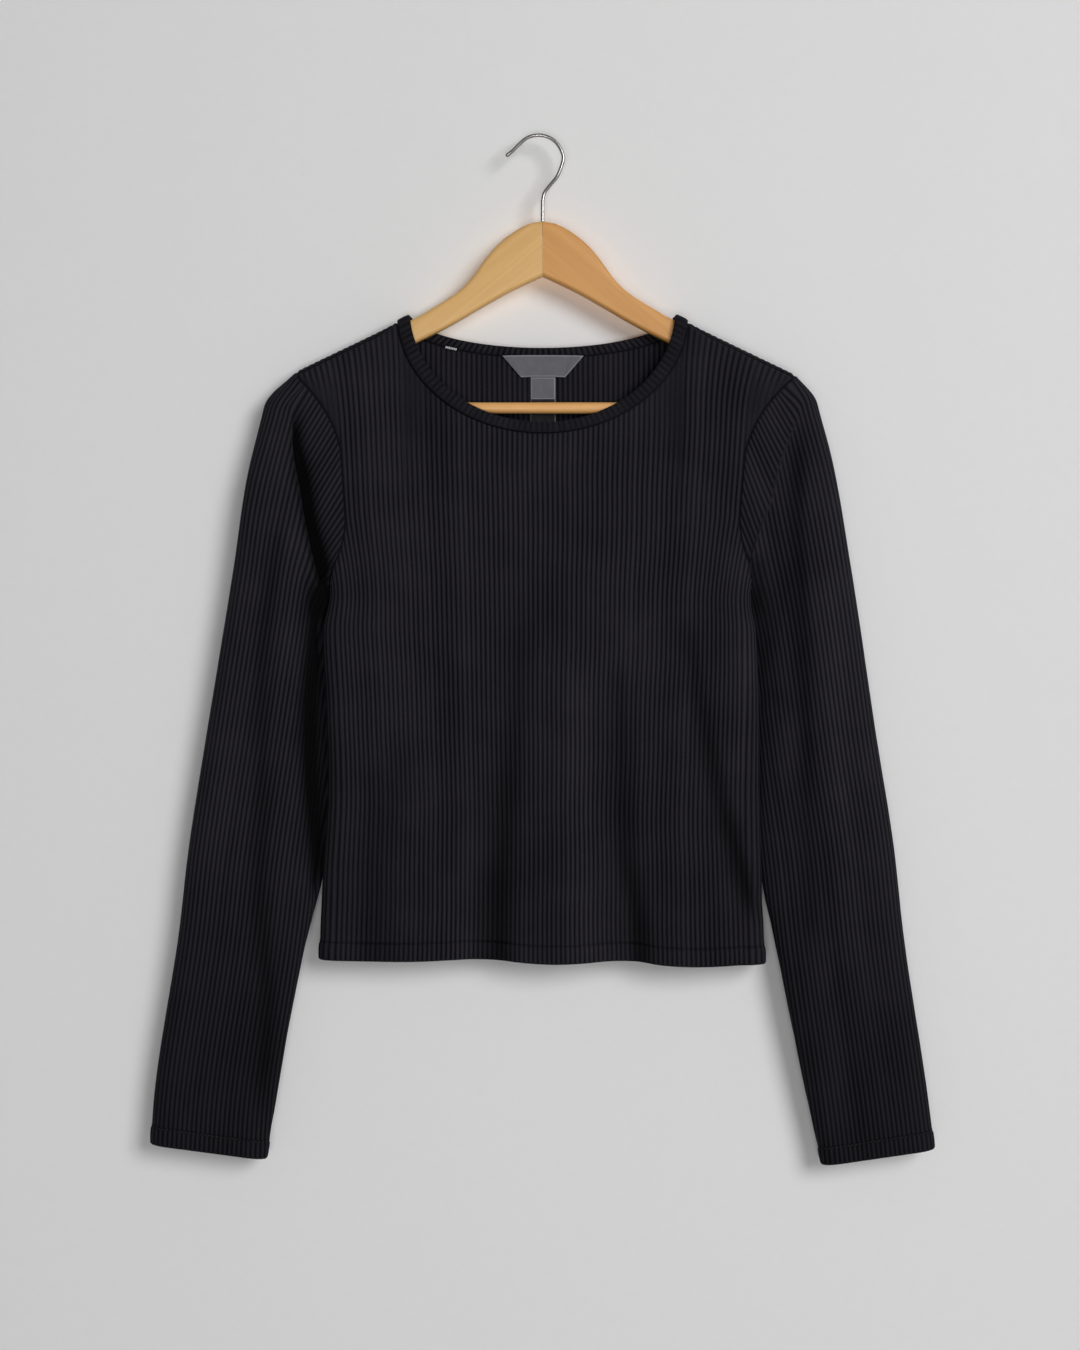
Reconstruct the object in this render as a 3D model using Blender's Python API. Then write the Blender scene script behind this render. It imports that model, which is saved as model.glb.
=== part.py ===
"""A ribbed, long-sleeved crop top that hangs on a wooden hanger with a wire hook.

Sizes are in millimetres and become metres where a mesh is made. -Y is the front, +Z is up, and +X is
to the right of someone who looks at the front. The origin is under the crown of the hook, where a rail
carries the hanger. Every piece of cloth is a wall: its ribs are raised on the outside of a plain inside.
"""

import math

import bmesh
import bpy
import numpy as np
from mathutils import Matrix, Vector

MM = 0.001
SEAM_GAP = 0.3
PROBE_SHARE, PROBE_H = 0.001, 0.05

# The hanger
CENTRE_X = 2.0
ARM_THICK = 11.0
ARM_EDGE = 4.2
BAR_DIAMETER = 9.0
BAR_Z = -216.8
BAR_REACH = 184.0
WIRE_DIAMETER = 3.0
STEM_BOTTOM_Z = -80.0

# An arm from its meeting face outwards: distance from the centre line, and height
ARM_TOP = (
    (0.0, -67.8),
    (12.0, -70.2),
    (26.4, -78.6),
    (37.4, -88.0),
    (46.6, -99.0),
    (56.0, -112.2),
    (65.2, -122.0),
    (74.4, -128.8),
    (88.0, -137.2),
    (103.6, -146.0),
)
ARM_END = (
    (197.5, -191.1),
    (207.5, -199.8),
    (212.5, -206.5),
    (214.0, -214.0),
    (211.0, -223.0),
    (203.0, -229.5),
    (192.0, -230.0),
    (BAR_REACH, -224.0),
    (BAR_REACH, -207.0),
    (166.0, -196.4),
)
ARM_UNDER = (
    (101.9, -165.4),
    (72.5, -150.6),
    (50.0, -137.6),
    (26.4, -124.4),
    (0.0, -111.8),
)

# The hook's crown is an arc; the rest of its route is (x, z)
CROWN_X = -1.2
CROWN_RADIUS = 19.7
CROWN_FROM_DEG, CROWN_TO_DEG, CROWN_STEP_DEG = 140, 0, 20
HOOK_TIP = ((-27.4, -15.6), (-22.0, -11.2))
HOOK_NECK = ((14.2, -30.6), (8.2, -38.4), (3.6, -44.6), (2.0, -51.0))

# The cloth
WALL = 1.25
RIB_HEIGHT = 0.65
TURN_UP = 0.8
TURN_UP_STEP = 2.0

# The body: ribs across one panel, and those of them that reach the shoulders and the neck
RIBS = 96
RIBS_BETWEEN_ARMHOLES = 80
RIB_COLUMNS = 2
PLAIN_STRIDE = 6
FINE_STRIDE = 2

HEM_Z = -659.0
HEM_TILT = -0.010
HEM_DEPTH = 14.0
UNDERARM_Z = -362.4
ARMHOLE_WAIST_Z = -303.2
ARMHOLE_WAIST = 157.0
ARMHOLE_SHAPE = 0.65
SHOULDER_FAN_POWER = 5
SHOULDER_POINT_Z = -194.4
SHOULDER_REACH = {-1: 194.0, 1: 199.0}
SHOULDER_SLOPE = 0.48
NECK_POINT_Z = -149.0
NECK_BUMP, NECK_BUMP_AT, NECK_BUMP_REACH = 1.0, 110.0, 12.0
FOLD_RADIUS = 8.5
FACE_DEPTH = 9.2
DEPTH_GROWTH = 0.008
SIDE_ROUND = 14.0
ARC_SHARE = 1.2

# How far the shoulder seam lies round the fold, as an angle from the front face
SEAM_ANGLE = math.radians(38)
SEAM_ANGLE_AT_NECK = math.radians(62)
SEAM_RISE = 18.0

# Half widths of the body: height, left, right
BODY_WIDTHS = (
    (-660.0, 178.0, 177.4),
    (-590.4, 175.2, 174.8),
    (-527.2, 171.2, 173.2),
    (-454.4, 172.4, 172.4),
    (-395.0, 175.0, 169.4),
    (-362.4, 169.6, 166.4),
    (-303.2, 185.6, 185.6),
)

# Soft upright folds: x at the hem, x where it fades out, half width, depth outwards, height of its top
FRONT_FOLDS = (
    (-125.0, -118.0, 26.0, 2.0, -470.0),
    (-51.0, -42.0, 22.0, -3.6, -400.0),
    (22.0, 14.0, 26.0, 3.0, -380.0),
    (66.0, 52.0, 20.0, -3.6, -420.0),
    (128.0, 118.0, 22.0, 2.6, -450.0),
    (158.0, 146.0, 9.0, -2.2, -500.0),
)
BACK_FOLDS = (
    (-118.0, -110.0, 22.0, -2.8, -440.0),
    (-62.0, -50.0, 26.0, 3.2, -390.0),
    (4.0, 0.0, 24.0, -3.4, -400.0),
    (70.0, 60.0, 26.0, 3.0, -410.0),
    (126.0, 116.0, 20.0, -2.6, -460.0),
)

# Rows of points up a panel: shares of the way from the hem's stitches to the armhole's waist, then
# shares of the way round the shoulder's fold, for the front and for the back
LOWER_ROWS = (0.0, 0.33, 0.68, 1.0)
FOLD_SHARES = {-1: (0.0,), 1: (0.0, 0.333, 0.667)}

# The neck: half width across the shoulders, and heights at the middle of the front and the back
NECK_SEAM = {"half": 115.2, -1: -237.3, 1: -175.2}
NECK_EDGE = {"half": 105.6, -1: -229.0, 1: -167.2}
NECKBAND_RIBS = 108
NECKBAND_WALL = 2.0
NECKBAND_RIB_HEIGHT = 0.5
NECKBAND_GAP = 0.96
NECKBAND_STANDS = 0.4
NECKBAND_END = 0.93

# Sleeves, ring by ring: x and z at the outer edge, x and z at the inner edge, bow towards the body,
# half depth, rounding at the outer and the inner edge, how far the ring's lower half sinks in, and how
# far its inner edge is tucked to the back, behind the body's side
SLEEVE_RIBS = 56
SLEEVE_RINGS = {
    -1: (
        (-207.6, -198.0, -170.2, -365.4, 0.0, 8.8, 9.0, 8.0, 4.4, 0.0),
        (-220.8, -216.8, -173.2, -372.2, 0.0, 10.0, 12.0, 8.0, 0.0, 1.0),
        (-232.6, -268.0, -175.0, -388.0, 0.0, 11.0, 14.0, 12.0, 0.0, 4.0),
        (-244.4, -345.0, -172.6, -428.0, 0.0, 12.0, 15.0, 22.0, 0.0, 7.0),
        (-266.0, -477.0, -170.2, -497.0, 0.0, 12.0, 16.0, 26.0, 0.0, 7.0),
        (-280.8, -573.0, -173.4, -585.0, 0.0, 11.5, 16.0, 20.0, 0.0, 6.0),
        (-288.0, -628.0, -187.2, -642.0, 0.0, 11.0, 15.5, 17.0, 0.0, 0.0),
        (-310.4, -785.6, -216.4, -798.0, 0.0, 9.5, 14.0, 14.0, 0.0, 0.0),
        (-311.2, -804.8, -219.6, -816.8, 0.0, 9.5, 14.0, 14.0, 0.0, 0.0),
    ),
    1: (
        (215.6, -201.6, 172.6, -365.2, 7.0, 9.4, 9.0, 8.0, -1.0, 0.0),
        (224.6, -216.8, 173.6, -372.4, 4.0, 9.0, 12.0, 8.0, 1.0, 1.0),
        (233.8, -262.0, 174.0, -388.0, 0.0, 10.0, 14.0, 12.0, 1.2, 4.0),
        (248.2, -345.0, 174.4, -428.0, 0.0, 12.0, 15.0, 16.0, 0.0, 6.5),
        (268.0, -477.0, 175.6, -497.0, 0.0, 12.0, 16.0, 22.0, 0.0, 7.0),
        (283.0, -573.0, 177.6, -590.0, 0.0, 11.5, 16.0, 18.0, 0.0, 6.0),
        (289.8, -628.0, 188.0, -642.0, 0.0, 11.0, 15.5, 16.0, 0.0, 0.0),
        (313.2, -789.6, 222.0, -804.0, 0.0, 9.5, 14.0, 14.0, 0.0, 0.0),
        (315.4, -808.8, 226.2, -821.6, 0.0, 9.5, 14.0, 14.0, 0.0, 0.0),
    ),
}
TUCK_FROM = 0.5
CREASE_FROM, CREASE_FULL = 0.3, 0.6
SLEEVE_FOLD_COLUMNS = 5
SLEEVE_GAP = 0.6
OWN_NORMALS_FROM, OWN_NORMALS_FULL = 0.72, 0.88

# Labels inside the back neck: half width at the top and the bottom, height of the top and the bottom,
# number of thin layers behind it
LABEL_X = 2.4
LABEL_THICK = 0.6
LABEL_CELLS = 2
LABELS = {
    "neck_label": (32.6, 17.6, -173.6, -191.0, 0),
    "size_tag": (9.8, 9.8, -191.4, -209.0, 0),
    "care_label": (10.1, 10.1, -191.4, -243.6, 1),
}

COLOURS = {
    "knit": (0.012, 0.011, 0.014, 0.85, 0.0),
    "label": (0.11, 0.105, 0.115, 0.7, 0.0),
    "wood": (0.62, 0.36, 0.15, 0.45, 0.0),
    "steel": (0.6, 0.6, 0.6, 0.25, 1.0),
}


def clear_scene():
    for thing in list(bpy.data.objects):
        bpy.data.objects.remove(thing)


def material(name):
    """A plain finish from COLOURS, made once."""
    found = bpy.data.materials.get(name)
    if found:
        return found
    red, green, blue, roughness, metallic = COLOURS[name]
    made = bpy.data.materials.new(name)
    made.use_nodes = True
    shader = made.node_tree.nodes["Principled BSDF"]
    shader.inputs["Base Color"].default_value = (red, green, blue, 1)
    shader.inputs["Roughness"].default_value = roughness
    shader.inputs["Metallic"].default_value = metallic
    return made


def add_object(name, data, finish):
    thing = bpy.data.objects.new(name, data)
    bpy.context.scene.collection.objects.link(thing)
    data.materials.append(material(finish))
    return thing


def mesh_object(name, points, faces, finish):
    """A closed mesh from points in millimetres, its faces turned outwards."""
    mesh = bpy.data.meshes.new(name)
    mesh.from_pydata([tuple(MM * value for value in point) for point in points], [], faces)
    form = bmesh.new()
    form.from_mesh(mesh)
    bmesh.ops.recalc_face_normals(form, faces=form.faces)
    form.to_mesh(mesh)
    form.free()
    return add_object(name, mesh, finish)


def table_curve(at, rows, column):
    """A smooth curve through one column of a table whose first column falls or rises steadily."""
    rows = sorted(rows)
    keys = [row[0] for row in rows]
    values = [row[column] for row in rows]
    if at <= keys[0]:
        return values[0]
    if at >= keys[-1]:
        return values[-1]
    k = max(i for i, key in enumerate(keys) if key <= at)
    span = keys[k + 1] - keys[k]
    share = (at - keys[k]) / span

    def slope(i):
        low, high = max(i - 1, 0), min(i + 1, len(keys) - 1)
        return (values[high] - values[low]) / (keys[high] - keys[low]) * span

    rise, start, end = values[k + 1] - values[k], slope(k), slope(k + 1)
    return values[k] + share * (
        start + share * (3 * rise - 2 * start - end + share * (start + end - 2 * rise))
    )


def smooth_step(low, high, value):
    share = min(max((value - low) / (high - low), 0.0), 1.0)
    return share * share * (3 - 2 * share)


# ---------------------------------------------------------------- the body's surface


def shoulder_z(distance):
    """Height of the cloth's crest over the arm, a little higher where the neck's seam crosses it."""
    bump = NECK_BUMP * math.exp(-(((distance - NECK_BUMP_AT) / NECK_BUMP_REACH) ** 2))
    return NECK_POINT_Z - SHOULDER_SLOPE * (distance - NECK_SEAM["half"]) + bump


def hem_z(x):
    return HEM_Z + HEM_TILT * x


def half_width(side, z):
    return table_curve(z, BODY_WIDTHS, 1 if side < 0 else 2)


def column_place(s, z):
    """Distance from the centre line of the rib at share s of the panel, and how far round its side it is."""
    side = -1 if s < 0 else 1
    share = abs(s)
    if z > ARMHOLE_WAIST_Z:
        inner = share * RIBS / RIBS_BETWEEN_ARMHOLES
        climb = (z - ARMHOLE_WAIST_Z) / (SHOULDER_POINT_Z - ARMHOLE_WAIST_Z)
        fan = (SHOULDER_REACH[side] - ARMHOLE_WAIST) * climb**3
        return ARMHOLE_WAIST * inner + fan * inner**SHOULDER_FAN_POWER, 0.0
    width = half_width(side, z)
    flat = width - SIDE_ROUND
    along = share * (flat + ARC_SHARE * SIDE_ROUND)
    if along <= flat:
        return along, 0.0
    angle = (along - flat) / (ARC_SHARE * SIDE_ROUND) * math.pi / 2
    return flat + SIDE_ROUND * math.sin(angle), angle


def fold_depth(x, z, face):
    """How far the soft folds push the cloth out at a place on the front or the back."""
    total = 0.0
    for x_hem, x_top, half, depth, top in FRONT_FOLDS if face < 0 else BACK_FOLDS:
        grown = smooth_step(top, HEM_Z, z)
        middle = x_top + (x_hem - x_top) * grown
        total += depth * grown * math.exp(-(((x - middle) / half) ** 2))
    return total


def face_depth(x, z, face):
    return FACE_DEPTH + DEPTH_GROWTH * max(NECK_POINT_Z - z, 0.0) + fold_depth(x, z, face)


def drape(distance, side, h, face, turn=0.0):
    """A point of the cloth. h is its height, measured along the cloth where it folds over the arm."""
    x = CENTRE_X + side * distance
    fold_z = shoulder_z(distance) - FOLD_RADIUS
    if h <= fold_z:
        depth = SEAM_GAP + (face_depth(x, h, face) - SEAM_GAP) * math.cos(turn)
        return np.array((x, face * depth, h))
    angle = (h - fold_z) / FOLD_RADIUS
    depth = face_depth(x, fold_z, face)
    return np.array((x, face * depth * math.cos(angle), fold_z + FOLD_RADIUS * math.sin(angle)))


def body_point(s, h, face):
    """The point at share s of the panel's ribs (-1 to 1) and at height h along the cloth."""
    side = -1 if s < 0 else 1
    z = h
    for _ in range(14):
        distance, turn = column_place(s, z)
        z = (z + drape(distance, side, h, face, turn)[2]) / 2
    return drape(distance, side, h, face, turn)


def body_normal(s, h, face):
    across = body_point(s + PROBE_SHARE, h, face) - body_point(s - PROBE_SHARE, h, face)
    up = body_point(s, h + PROBE_H, face) - body_point(s, h - PROBE_H, face)
    normal = np.cross(across, up) * -face
    return normal / np.linalg.norm(normal)


def seam_angle(distance, face):
    """How far round the fold a panel reaches: the seam lies to the front of the crest, nearer it at the neck."""
    near_neck = 1 - smooth_step(NECK_SEAM["half"], NECK_SEAM["half"] + SEAM_RISE, distance)
    angle = SEAM_ANGLE + (SEAM_ANGLE_AT_NECK - SEAM_ANGLE) * near_neck
    return angle if face < 0 else math.pi - angle - SEAM_GAP / FOLD_RADIUS


def fold_h(distance, angle):
    """Height along the cloth of a place on the fold, by its angle from the face."""
    return shoulder_z(distance) - FOLD_RADIUS * (1 - angle)


def neck_h(distance, face, line):
    """Height along the cloth of the neck's seam or edge: half an ellipse between the two crests."""
    crest = fold_h(line["half"], math.pi / 2)
    return crest - (crest - line[face]) * math.sqrt(max(1 - (distance / line["half"]) ** 2, 0.0))


def column_h(s, face, share):
    """Height along a rib where it has gone a share of its way round the fold, or meets the neck's seam."""
    low, high = ARMHOLE_WAIST_Z, NECK_POINT_Z + 30.0
    for _ in range(40):
        middle = (low + high) / 2
        distance = abs(body_point(s, middle, face)[0] - CENTRE_X)
        end = fold_h(distance, share * seam_angle(distance, face))
        if distance < NECK_SEAM["half"]:
            end = min(end, neck_h(distance, face, NECK_SEAM))
        if middle < end:
            low = middle
        else:
            high = middle
    return low


def upper_levels(s, face):
    """Rows of a rib above the armhole's waist: one half way up, the fold's, and its end."""
    end = column_h(s, face, 1.0)
    distance = abs(body_point(s, end, face)[0] - CENTRE_X)
    if distance >= NECK_SEAM["half"]:
        levels = [column_h(s, face, share) for share in FOLD_SHARES[face]]
    else:
        angle = seam_angle(NECK_SEAM["half"], face)
        whole = fold_h(NECK_SEAM["half"], angle) - ARMHOLE_WAIST_Z
        levels = []
        for share in FOLD_SHARES[face]:
            part = (fold_h(NECK_SEAM["half"], share * angle) - ARMHOLE_WAIST_Z) / whole
            levels.append(ARMHOLE_WAIST_Z + (end - ARMHOLE_WAIST_Z) * part)
    return [(ARMHOLE_WAIST_Z + levels[0]) / 2, *levels, end]


def lower_top(s):
    """Where a rib leaves the lower part of a panel: at the armhole's waist, or on the armhole below it."""
    inner = RIBS_BETWEEN_ARMHOLES / RIBS
    beyond = max(abs(s) - inner, 0.0) / (1 - inner)
    return ARMHOLE_WAIST_Z - (ARMHOLE_WAIST_Z - UNDERARM_Z) * beyond**ARMHOLE_SHAPE


# ---------------------------------------------------------------- walls of cloth


def split_cell(corners, points):
    """Two triangles of a cell, which meet along the shorter of its diagonals."""
    a, b, c, d = corners
    if np.linalg.norm(points[a] - points[c]) <= np.linalg.norm(points[b] - points[d]):
        return [[a, b, c], [a, c, d]]
    return [[a, b, d], [b, c, d]]


class Wall:
    """A grid of points on the cloth's groove level, made into a ribbed wall with a plain inside.

    The inside has points in the plain columns alone.
    """

    def __init__(self, name, closed=False):
        self.name, self.closed = name, closed
        self.points, self.normals, self.raised, self.plain = {}, {}, {}, []

    def add(self, row, column, point, normal, raised):
        self.points[row, column] = np.array(point)
        self.normals[row, column] = np.array(normal)
        self.raised[row, column] = raised

    def quads(self, columns):
        """Cells between neighbouring columns of a list, round the end of a closed wall."""
        rows = sorted({row for row, _ in self.points})
        sides = columns[1:] + (columns[:1] if self.closed else [])
        for left, right in zip(columns, sides):
            for row in rows:
                corners = ((row, left), (row, right), (row + 1, right), (row + 1, left))
                if all(corner in self.points for corner in corners):
                    yield corners

    def outer(self, key):
        return self.points[key] + self.normals[key] * self.raised[key]

    def inner(self, key):
        return self.points[key] - self.normals[key] * WALL

    def build(self, finish):
        columns = sorted({column for _, column in self.points})
        outside = {key: i for i, key in enumerate(self.points)}
        inside = {}
        for key in self.points:
            if key[1] in self.plain:
                inside[key] = len(outside) + len(inside)
        points = [self.outer(key) for key in outside] + [self.inner(key) for key in inside]
        faces = []
        for quad in self.quads(columns):
            faces += split_cell([outside[key] for key in quad], points)
        rim = {}
        for quad in self.quads(self.plain):
            faces += split_cell([inside[key] for key in reversed(quad)], points)
            for start, end in zip(quad, quad[1:] + quad[:1]):
                if (end, start) in rim:
                    del rim[end, start]
                else:
                    rim[start, end] = True
        for start, end in rim:
            faces += self.rim_faces(start, end, outside, inside)
        return mesh_object(self.name, points, faces, finish)

    def rim_faces(self, start, end, outside, inside):
        """Triangles between one plain edge of the inside and the ribbed edge that faces it."""
        chain = [start]
        if start[0] == end[0]:
            count = 1 + max(column for _, column in self.points)
            place = self.plain.index(start[1])
            step = 1 if self.plain[(place + 1) % len(self.plain)] == end[1] else -1
            while chain[-1] != end:
                chain.append((start[0], (chain[-1][1] + step) % count))
        else:
            chain.append(end)
        middle = len(chain) // 2
        near, far = inside[start], inside[end]
        faces = [[near, outside[b], outside[a]] for a, b in zip(chain[:middle], chain[1:])]
        faces.append([near, far, outside[chain[middle]]])
        faces += [[far, outside[b], outside[a]] for a, b in zip(chain[middle:], chain[middle + 1 :])]
        return faces


def panel_wall(name, face):
    """The front or the back. Its ribs stand upright; the outer ones end on the armholes."""
    wall = Wall(name)
    columns = RIBS * RIB_COLUMNS
    edge = (RIBS - RIBS_BETWEEN_ARMHOLES) * RIB_COLUMNS // 2
    for column in range(columns + 1):
        s = (2 * column - columns) / columns
        rib = RIB_HEIGHT * (column % RIB_COLUMNS)
        x = body_point(s, HEM_Z, face)[0]
        stitched = hem_z(x) + HEM_DEPTH
        levels = [(hem_z(x), rib + TURN_UP), (stitched, rib + TURN_UP)]
        top = lower_top(s)
        start = stitched + TURN_UP_STEP
        levels += [(start + (top - start) * share, rib) for share in LOWER_ROWS]
        if edge <= column <= columns - edge:
            levels += [(h, rib) for h in upper_levels(s, face)]
        else:
            levels[-1] = (top, 0.0)
        for row, (h, raised) in enumerate(levels):
            wall.add(row, column, body_point(s, h, face), body_normal(s, h, face), raised)
    plain = set(range(0, columns + 1, PLAIN_STRIDE))
    plain |= set(range(0, edge + 1, FINE_STRIDE)) | set(range(columns - edge, columns + 1, FINE_STRIDE))
    wall.plain = sorted(plain | set(beside_neck(wall)))
    return wall


def beside_neck(wall):
    """The columns next to the corners where the shoulder seams meet the neck's seam."""
    top = max(row for row, _ in wall.points)
    ends = sorted(column for row, column in wall.points if row == top)
    inside = [abs(wall.points[top, column][0] - CENTRE_X) < NECK_SEAM["half"] for column in ends]
    for column, one, other in zip(ends, inside, inside[1:]):
        if one != other:
            yield column
            yield column + 1


def armhole(wall, side):
    """The panel's edge from the shoulder down to the underarm: points and normals in order."""
    columns = RIBS * RIB_COLUMNS
    edge = (RIBS - RIBS_BETWEEN_ARMHOLES) * RIB_COLUMNS // 2
    split = 1 + len(LOWER_ROWS)
    start = edge if side < 0 else columns - edge
    rows = sorted((row for row, column in wall.points if column == start and row >= split), reverse=True)
    keys = [(row, start) for row in rows]
    keys += [(split, start + side * step) for step in range(1, edge + 1)]
    return [(wall.points[key], wall.normals[key]) for key in keys]


def resampled(path, count):
    """count + 1 points and normals at equal spacing along a path of (point, normal)."""
    points = np.array([point for point, _ in path])
    normals = np.array([normal for _, normal in path])
    along = np.concatenate(([0.0], np.cumsum(np.linalg.norm(np.diff(points, axis=0), axis=1))))
    stops = np.linspace(0.0, along[-1], count + 1)
    columns = [[np.interp(stops, along, values[:, k]) for k in range(3)] for values in (points, normals)]
    return [(np.array(p), np.array(n)) for p, n in zip(zip(*columns[0]), zip(*columns[1]))]


def armhole_halves(front, back, side):
    """The sleeve's first ring: the front and the back armhole from the crest of the shoulder down."""
    over = armhole(back, side)
    crest = max(range(len(over)), key=lambda i: over[i][0][2])
    front_half = [over[crest]] + list(reversed(over[:crest])) + armhole(front, side)
    return front_half, over[crest:]


# ---------------------------------------------------------------- sleeves


def flat_oval(share, width, depth, outer_round, inner_round):
    """Half of a flattened tube: how far across it and how deep, at a share of the way round."""
    outer_arc, inner_arc = ARC_SHARE * outer_round, ARC_SHARE * inner_round
    flat = width - outer_round - inner_round
    along = share * (outer_arc + flat + inner_arc)
    if along < outer_arc:
        angle = along / outer_arc * math.pi / 2
        return outer_round * (1 - math.cos(angle)), depth * math.sin(angle)
    if along <= outer_arc + flat:
        return outer_round + along - outer_arc, depth
    angle = (along - outer_arc - flat) / inner_arc * math.pi / 2
    return width - inner_round * (1 - math.sin(angle)), depth * math.cos(angle)


def ring_point(ring, side, share, face):
    x_out, z_out, x_in, z_in, bow, depth, outer_round, inner_round, sink, tuck = ring
    width = math.hypot(x_in - x_out, z_in - z_out)
    across, deep = flat_oval(share, width, depth, outer_round, inner_round)
    part = across / width
    middle = 4 * part * (1 - part)
    if deep > 0:
        deep -= sink * smooth_step(CREASE_FROM, CREASE_FULL, part) * deep / depth
    x = x_out + (x_in - x_out) * part - side * bow * middle
    y = face * deep + tuck * smooth_step(TUCK_FROM, 1.0, part)
    return np.array((x, y, z_out + (z_in - z_out) * part))


def mixed_ring(one, other, share):
    return tuple(a + (b - a) * share for a, b in zip(one, other))


def sleeve_rings(side):
    """The sleeve's rings with the cuff's step put in, each with how far it stands out."""
    rings = [(ring, 0.0) for ring in SLEEVE_RINGS[side]]
    stitched, edge = rings[-2][0], rings[-1][0]
    step = TURN_UP_STEP / (stitched[1] - edge[1])
    return rings[:-1] + [(mixed_ring(stitched, edge, step), TURN_UP), (edge, TURN_UP)]


def sleeve_wall(name, side, front, back):
    wall = Wall(name, closed=True)
    half = SLEEVE_RIBS * RIB_COLUMNS // 2
    halves = [resampled(path, half) for path in armhole_halves(front, back, side)]
    seam = halves[0] + halves[1][-2:0:-1]
    rings = [[point + (side * SLEEVE_GAP, 0, 0) for point, _ in seam]]
    raised = [0.0]
    for ring, extra in sleeve_rings(side):
        points = [ring_point(ring, side, i / half, -1) for i in range(half + 1)]
        points += [ring_point(ring, side, i / half, 1) for i in range(half - 1, 0, -1)]
        rings.append(points)
        raised.append(extra)
    grid = np.array(rings)
    around = np.roll(grid, -1, axis=1) - np.roll(grid, 1, axis=1)
    along = np.gradient(grid, axis=0)
    normals = np.cross(around, along) * side
    normals /= np.linalg.norm(normals, axis=2)[..., None]
    for column, (_, edge_normal) in enumerate(seam):
        share = min(column, 2 * half - column) / half
        own = smooth_step(OWN_NORMALS_FROM, OWN_NORMALS_FULL, share)
        mixed = edge_normal + (normals[0, column] - edge_normal) * own
        normals[0, column] = mixed / np.linalg.norm(mixed)
    for row in range(len(rings)):
        for column in range(2 * half):
            rib = RIB_HEIGHT * (column % RIB_COLUMNS) if row else 0.0
            wall.add(row, column, grid[row, column], normals[row, column], rib + raised[row])
    fold = set(range(SLEEVE_FOLD_COLUMNS)) | set(range(2 * half - SLEEVE_FOLD_COLUMNS, 2 * half))
    wall.plain = sorted(set(range(0, 2 * half, PLAIN_STRIDE)) | fold)
    return wall


# ---------------------------------------------------------------- neckband and labels


def band_point(turn, share):
    """A point of the neckband: turn goes round the neck, share from its seam (0) to its edge (1)."""
    face = -1 if math.sin(turn) >= 0 else 1
    line = {key: NECK_SEAM[key] + (NECK_EDGE[key] - NECK_SEAM[key]) * share for key in NECK_SEAM}
    side = -1 if math.cos(turn) < 0 else 1
    distance = line["half"] * abs(math.cos(turn))
    return drape(distance, side, neck_h(distance, face, line), face)


def band_turns(count):
    """Turns at equal spacing along the neck's edge."""
    fine = np.linspace(0.0, 2 * math.pi, 4001)
    places = np.array([band_point(turn, 0.5) for turn in fine])
    along = np.concatenate(([0.0], np.cumsum(np.linalg.norm(np.diff(places, axis=0), axis=1))))
    return np.interp(np.linspace(0.0, along[-1], count, endpoint=False), along, fine)


def make_neckband():
    """A folded band: a closed ring with ribs square to its edge on the side that shows."""
    count = NECKBAND_RIBS * RIB_COLUMNS
    start_share = NECKBAND_GAP / (NECK_SEAM["half"] - NECK_EDGE["half"])
    turns = band_turns(count)
    section = (
        (start_share, NECKBAND_STANDS),
        (NECKBAND_END, NECKBAND_STANDS),
        (NECKBAND_END, NECKBAND_STANDS - NECKBAND_WALL),
        (start_share, NECKBAND_STANDS - NECKBAND_WALL),
    )
    points, faces = [], []
    for column, turn in enumerate(turns):
        rib = NECKBAND_RIB_HEIGHT * (column % RIB_COLUMNS)
        for share, level in section:
            here = band_point(turn, share)
            along = band_point(turn + PROBE_SHARE, share) - band_point(turn - PROBE_SHARE, share)
            inwards = band_point(turn, share + PROBE_H) - band_point(turn, share - PROBE_H)
            normal = np.cross(along, inwards)
            normal /= np.linalg.norm(normal)
            points.append(here + normal * (level + (rib if level > 0 else 0.0)))
    size = len(section)
    for column in range(count):
        start, after = column * size, (column + 1) % count * size
        for k in range(size):
            faces.append([start + k, start + (k + 1) % size, after + (k + 1) % size, after + k])
    return mesh_object("neckband", points, faces, "knit")


def make_label(name):
    """A thin slab that lies inside the back, made from the back's own surface moved inwards."""
    top_half, bottom_half, top, bottom, layers = LABELS[name]
    rows, columns = LABEL_CELLS, LABEL_CELLS
    points, faces = [], []
    near = WALL + SEAM_GAP + (LABEL_THICK + SEAM_GAP) * (1 - layers)
    for level in (near, near + LABEL_THICK):
        for row in range(rows + 1):
            z = top + (bottom - top) * row / rows
            half = top_half + (bottom_half - top_half) * row / rows
            for column in range(columns + 1):
                x = LABEL_X + half * (2 * column / columns - 1)
                y = face_depth(x, z, 1) - level
                points.append((x, y, z))
    layer = (rows + 1) * (columns + 1)
    for row in range(rows):
        for column in range(columns):
            a = row * (columns + 1) + column
            quad = (a, a + 1, a + columns + 2, a + columns + 1)
            faces.append(quad)
            faces.append([layer + k for k in reversed(quad)])
    border = [column for column in range(columns)]
    border += [row * (columns + 1) + columns for row in range(rows)]
    border += [rows * (columns + 1) + column for column in range(columns, 0, -1)]
    border += [row * (columns + 1) for row in range(rows, 0, -1)]
    for a, b in zip(border, border[1:] + border[:1]):
        faces.append((a, b, layer + b, layer + a))
    return mesh_object(name, points, faces, "label")


# ---------------------------------------------------------------- the hanger


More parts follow.
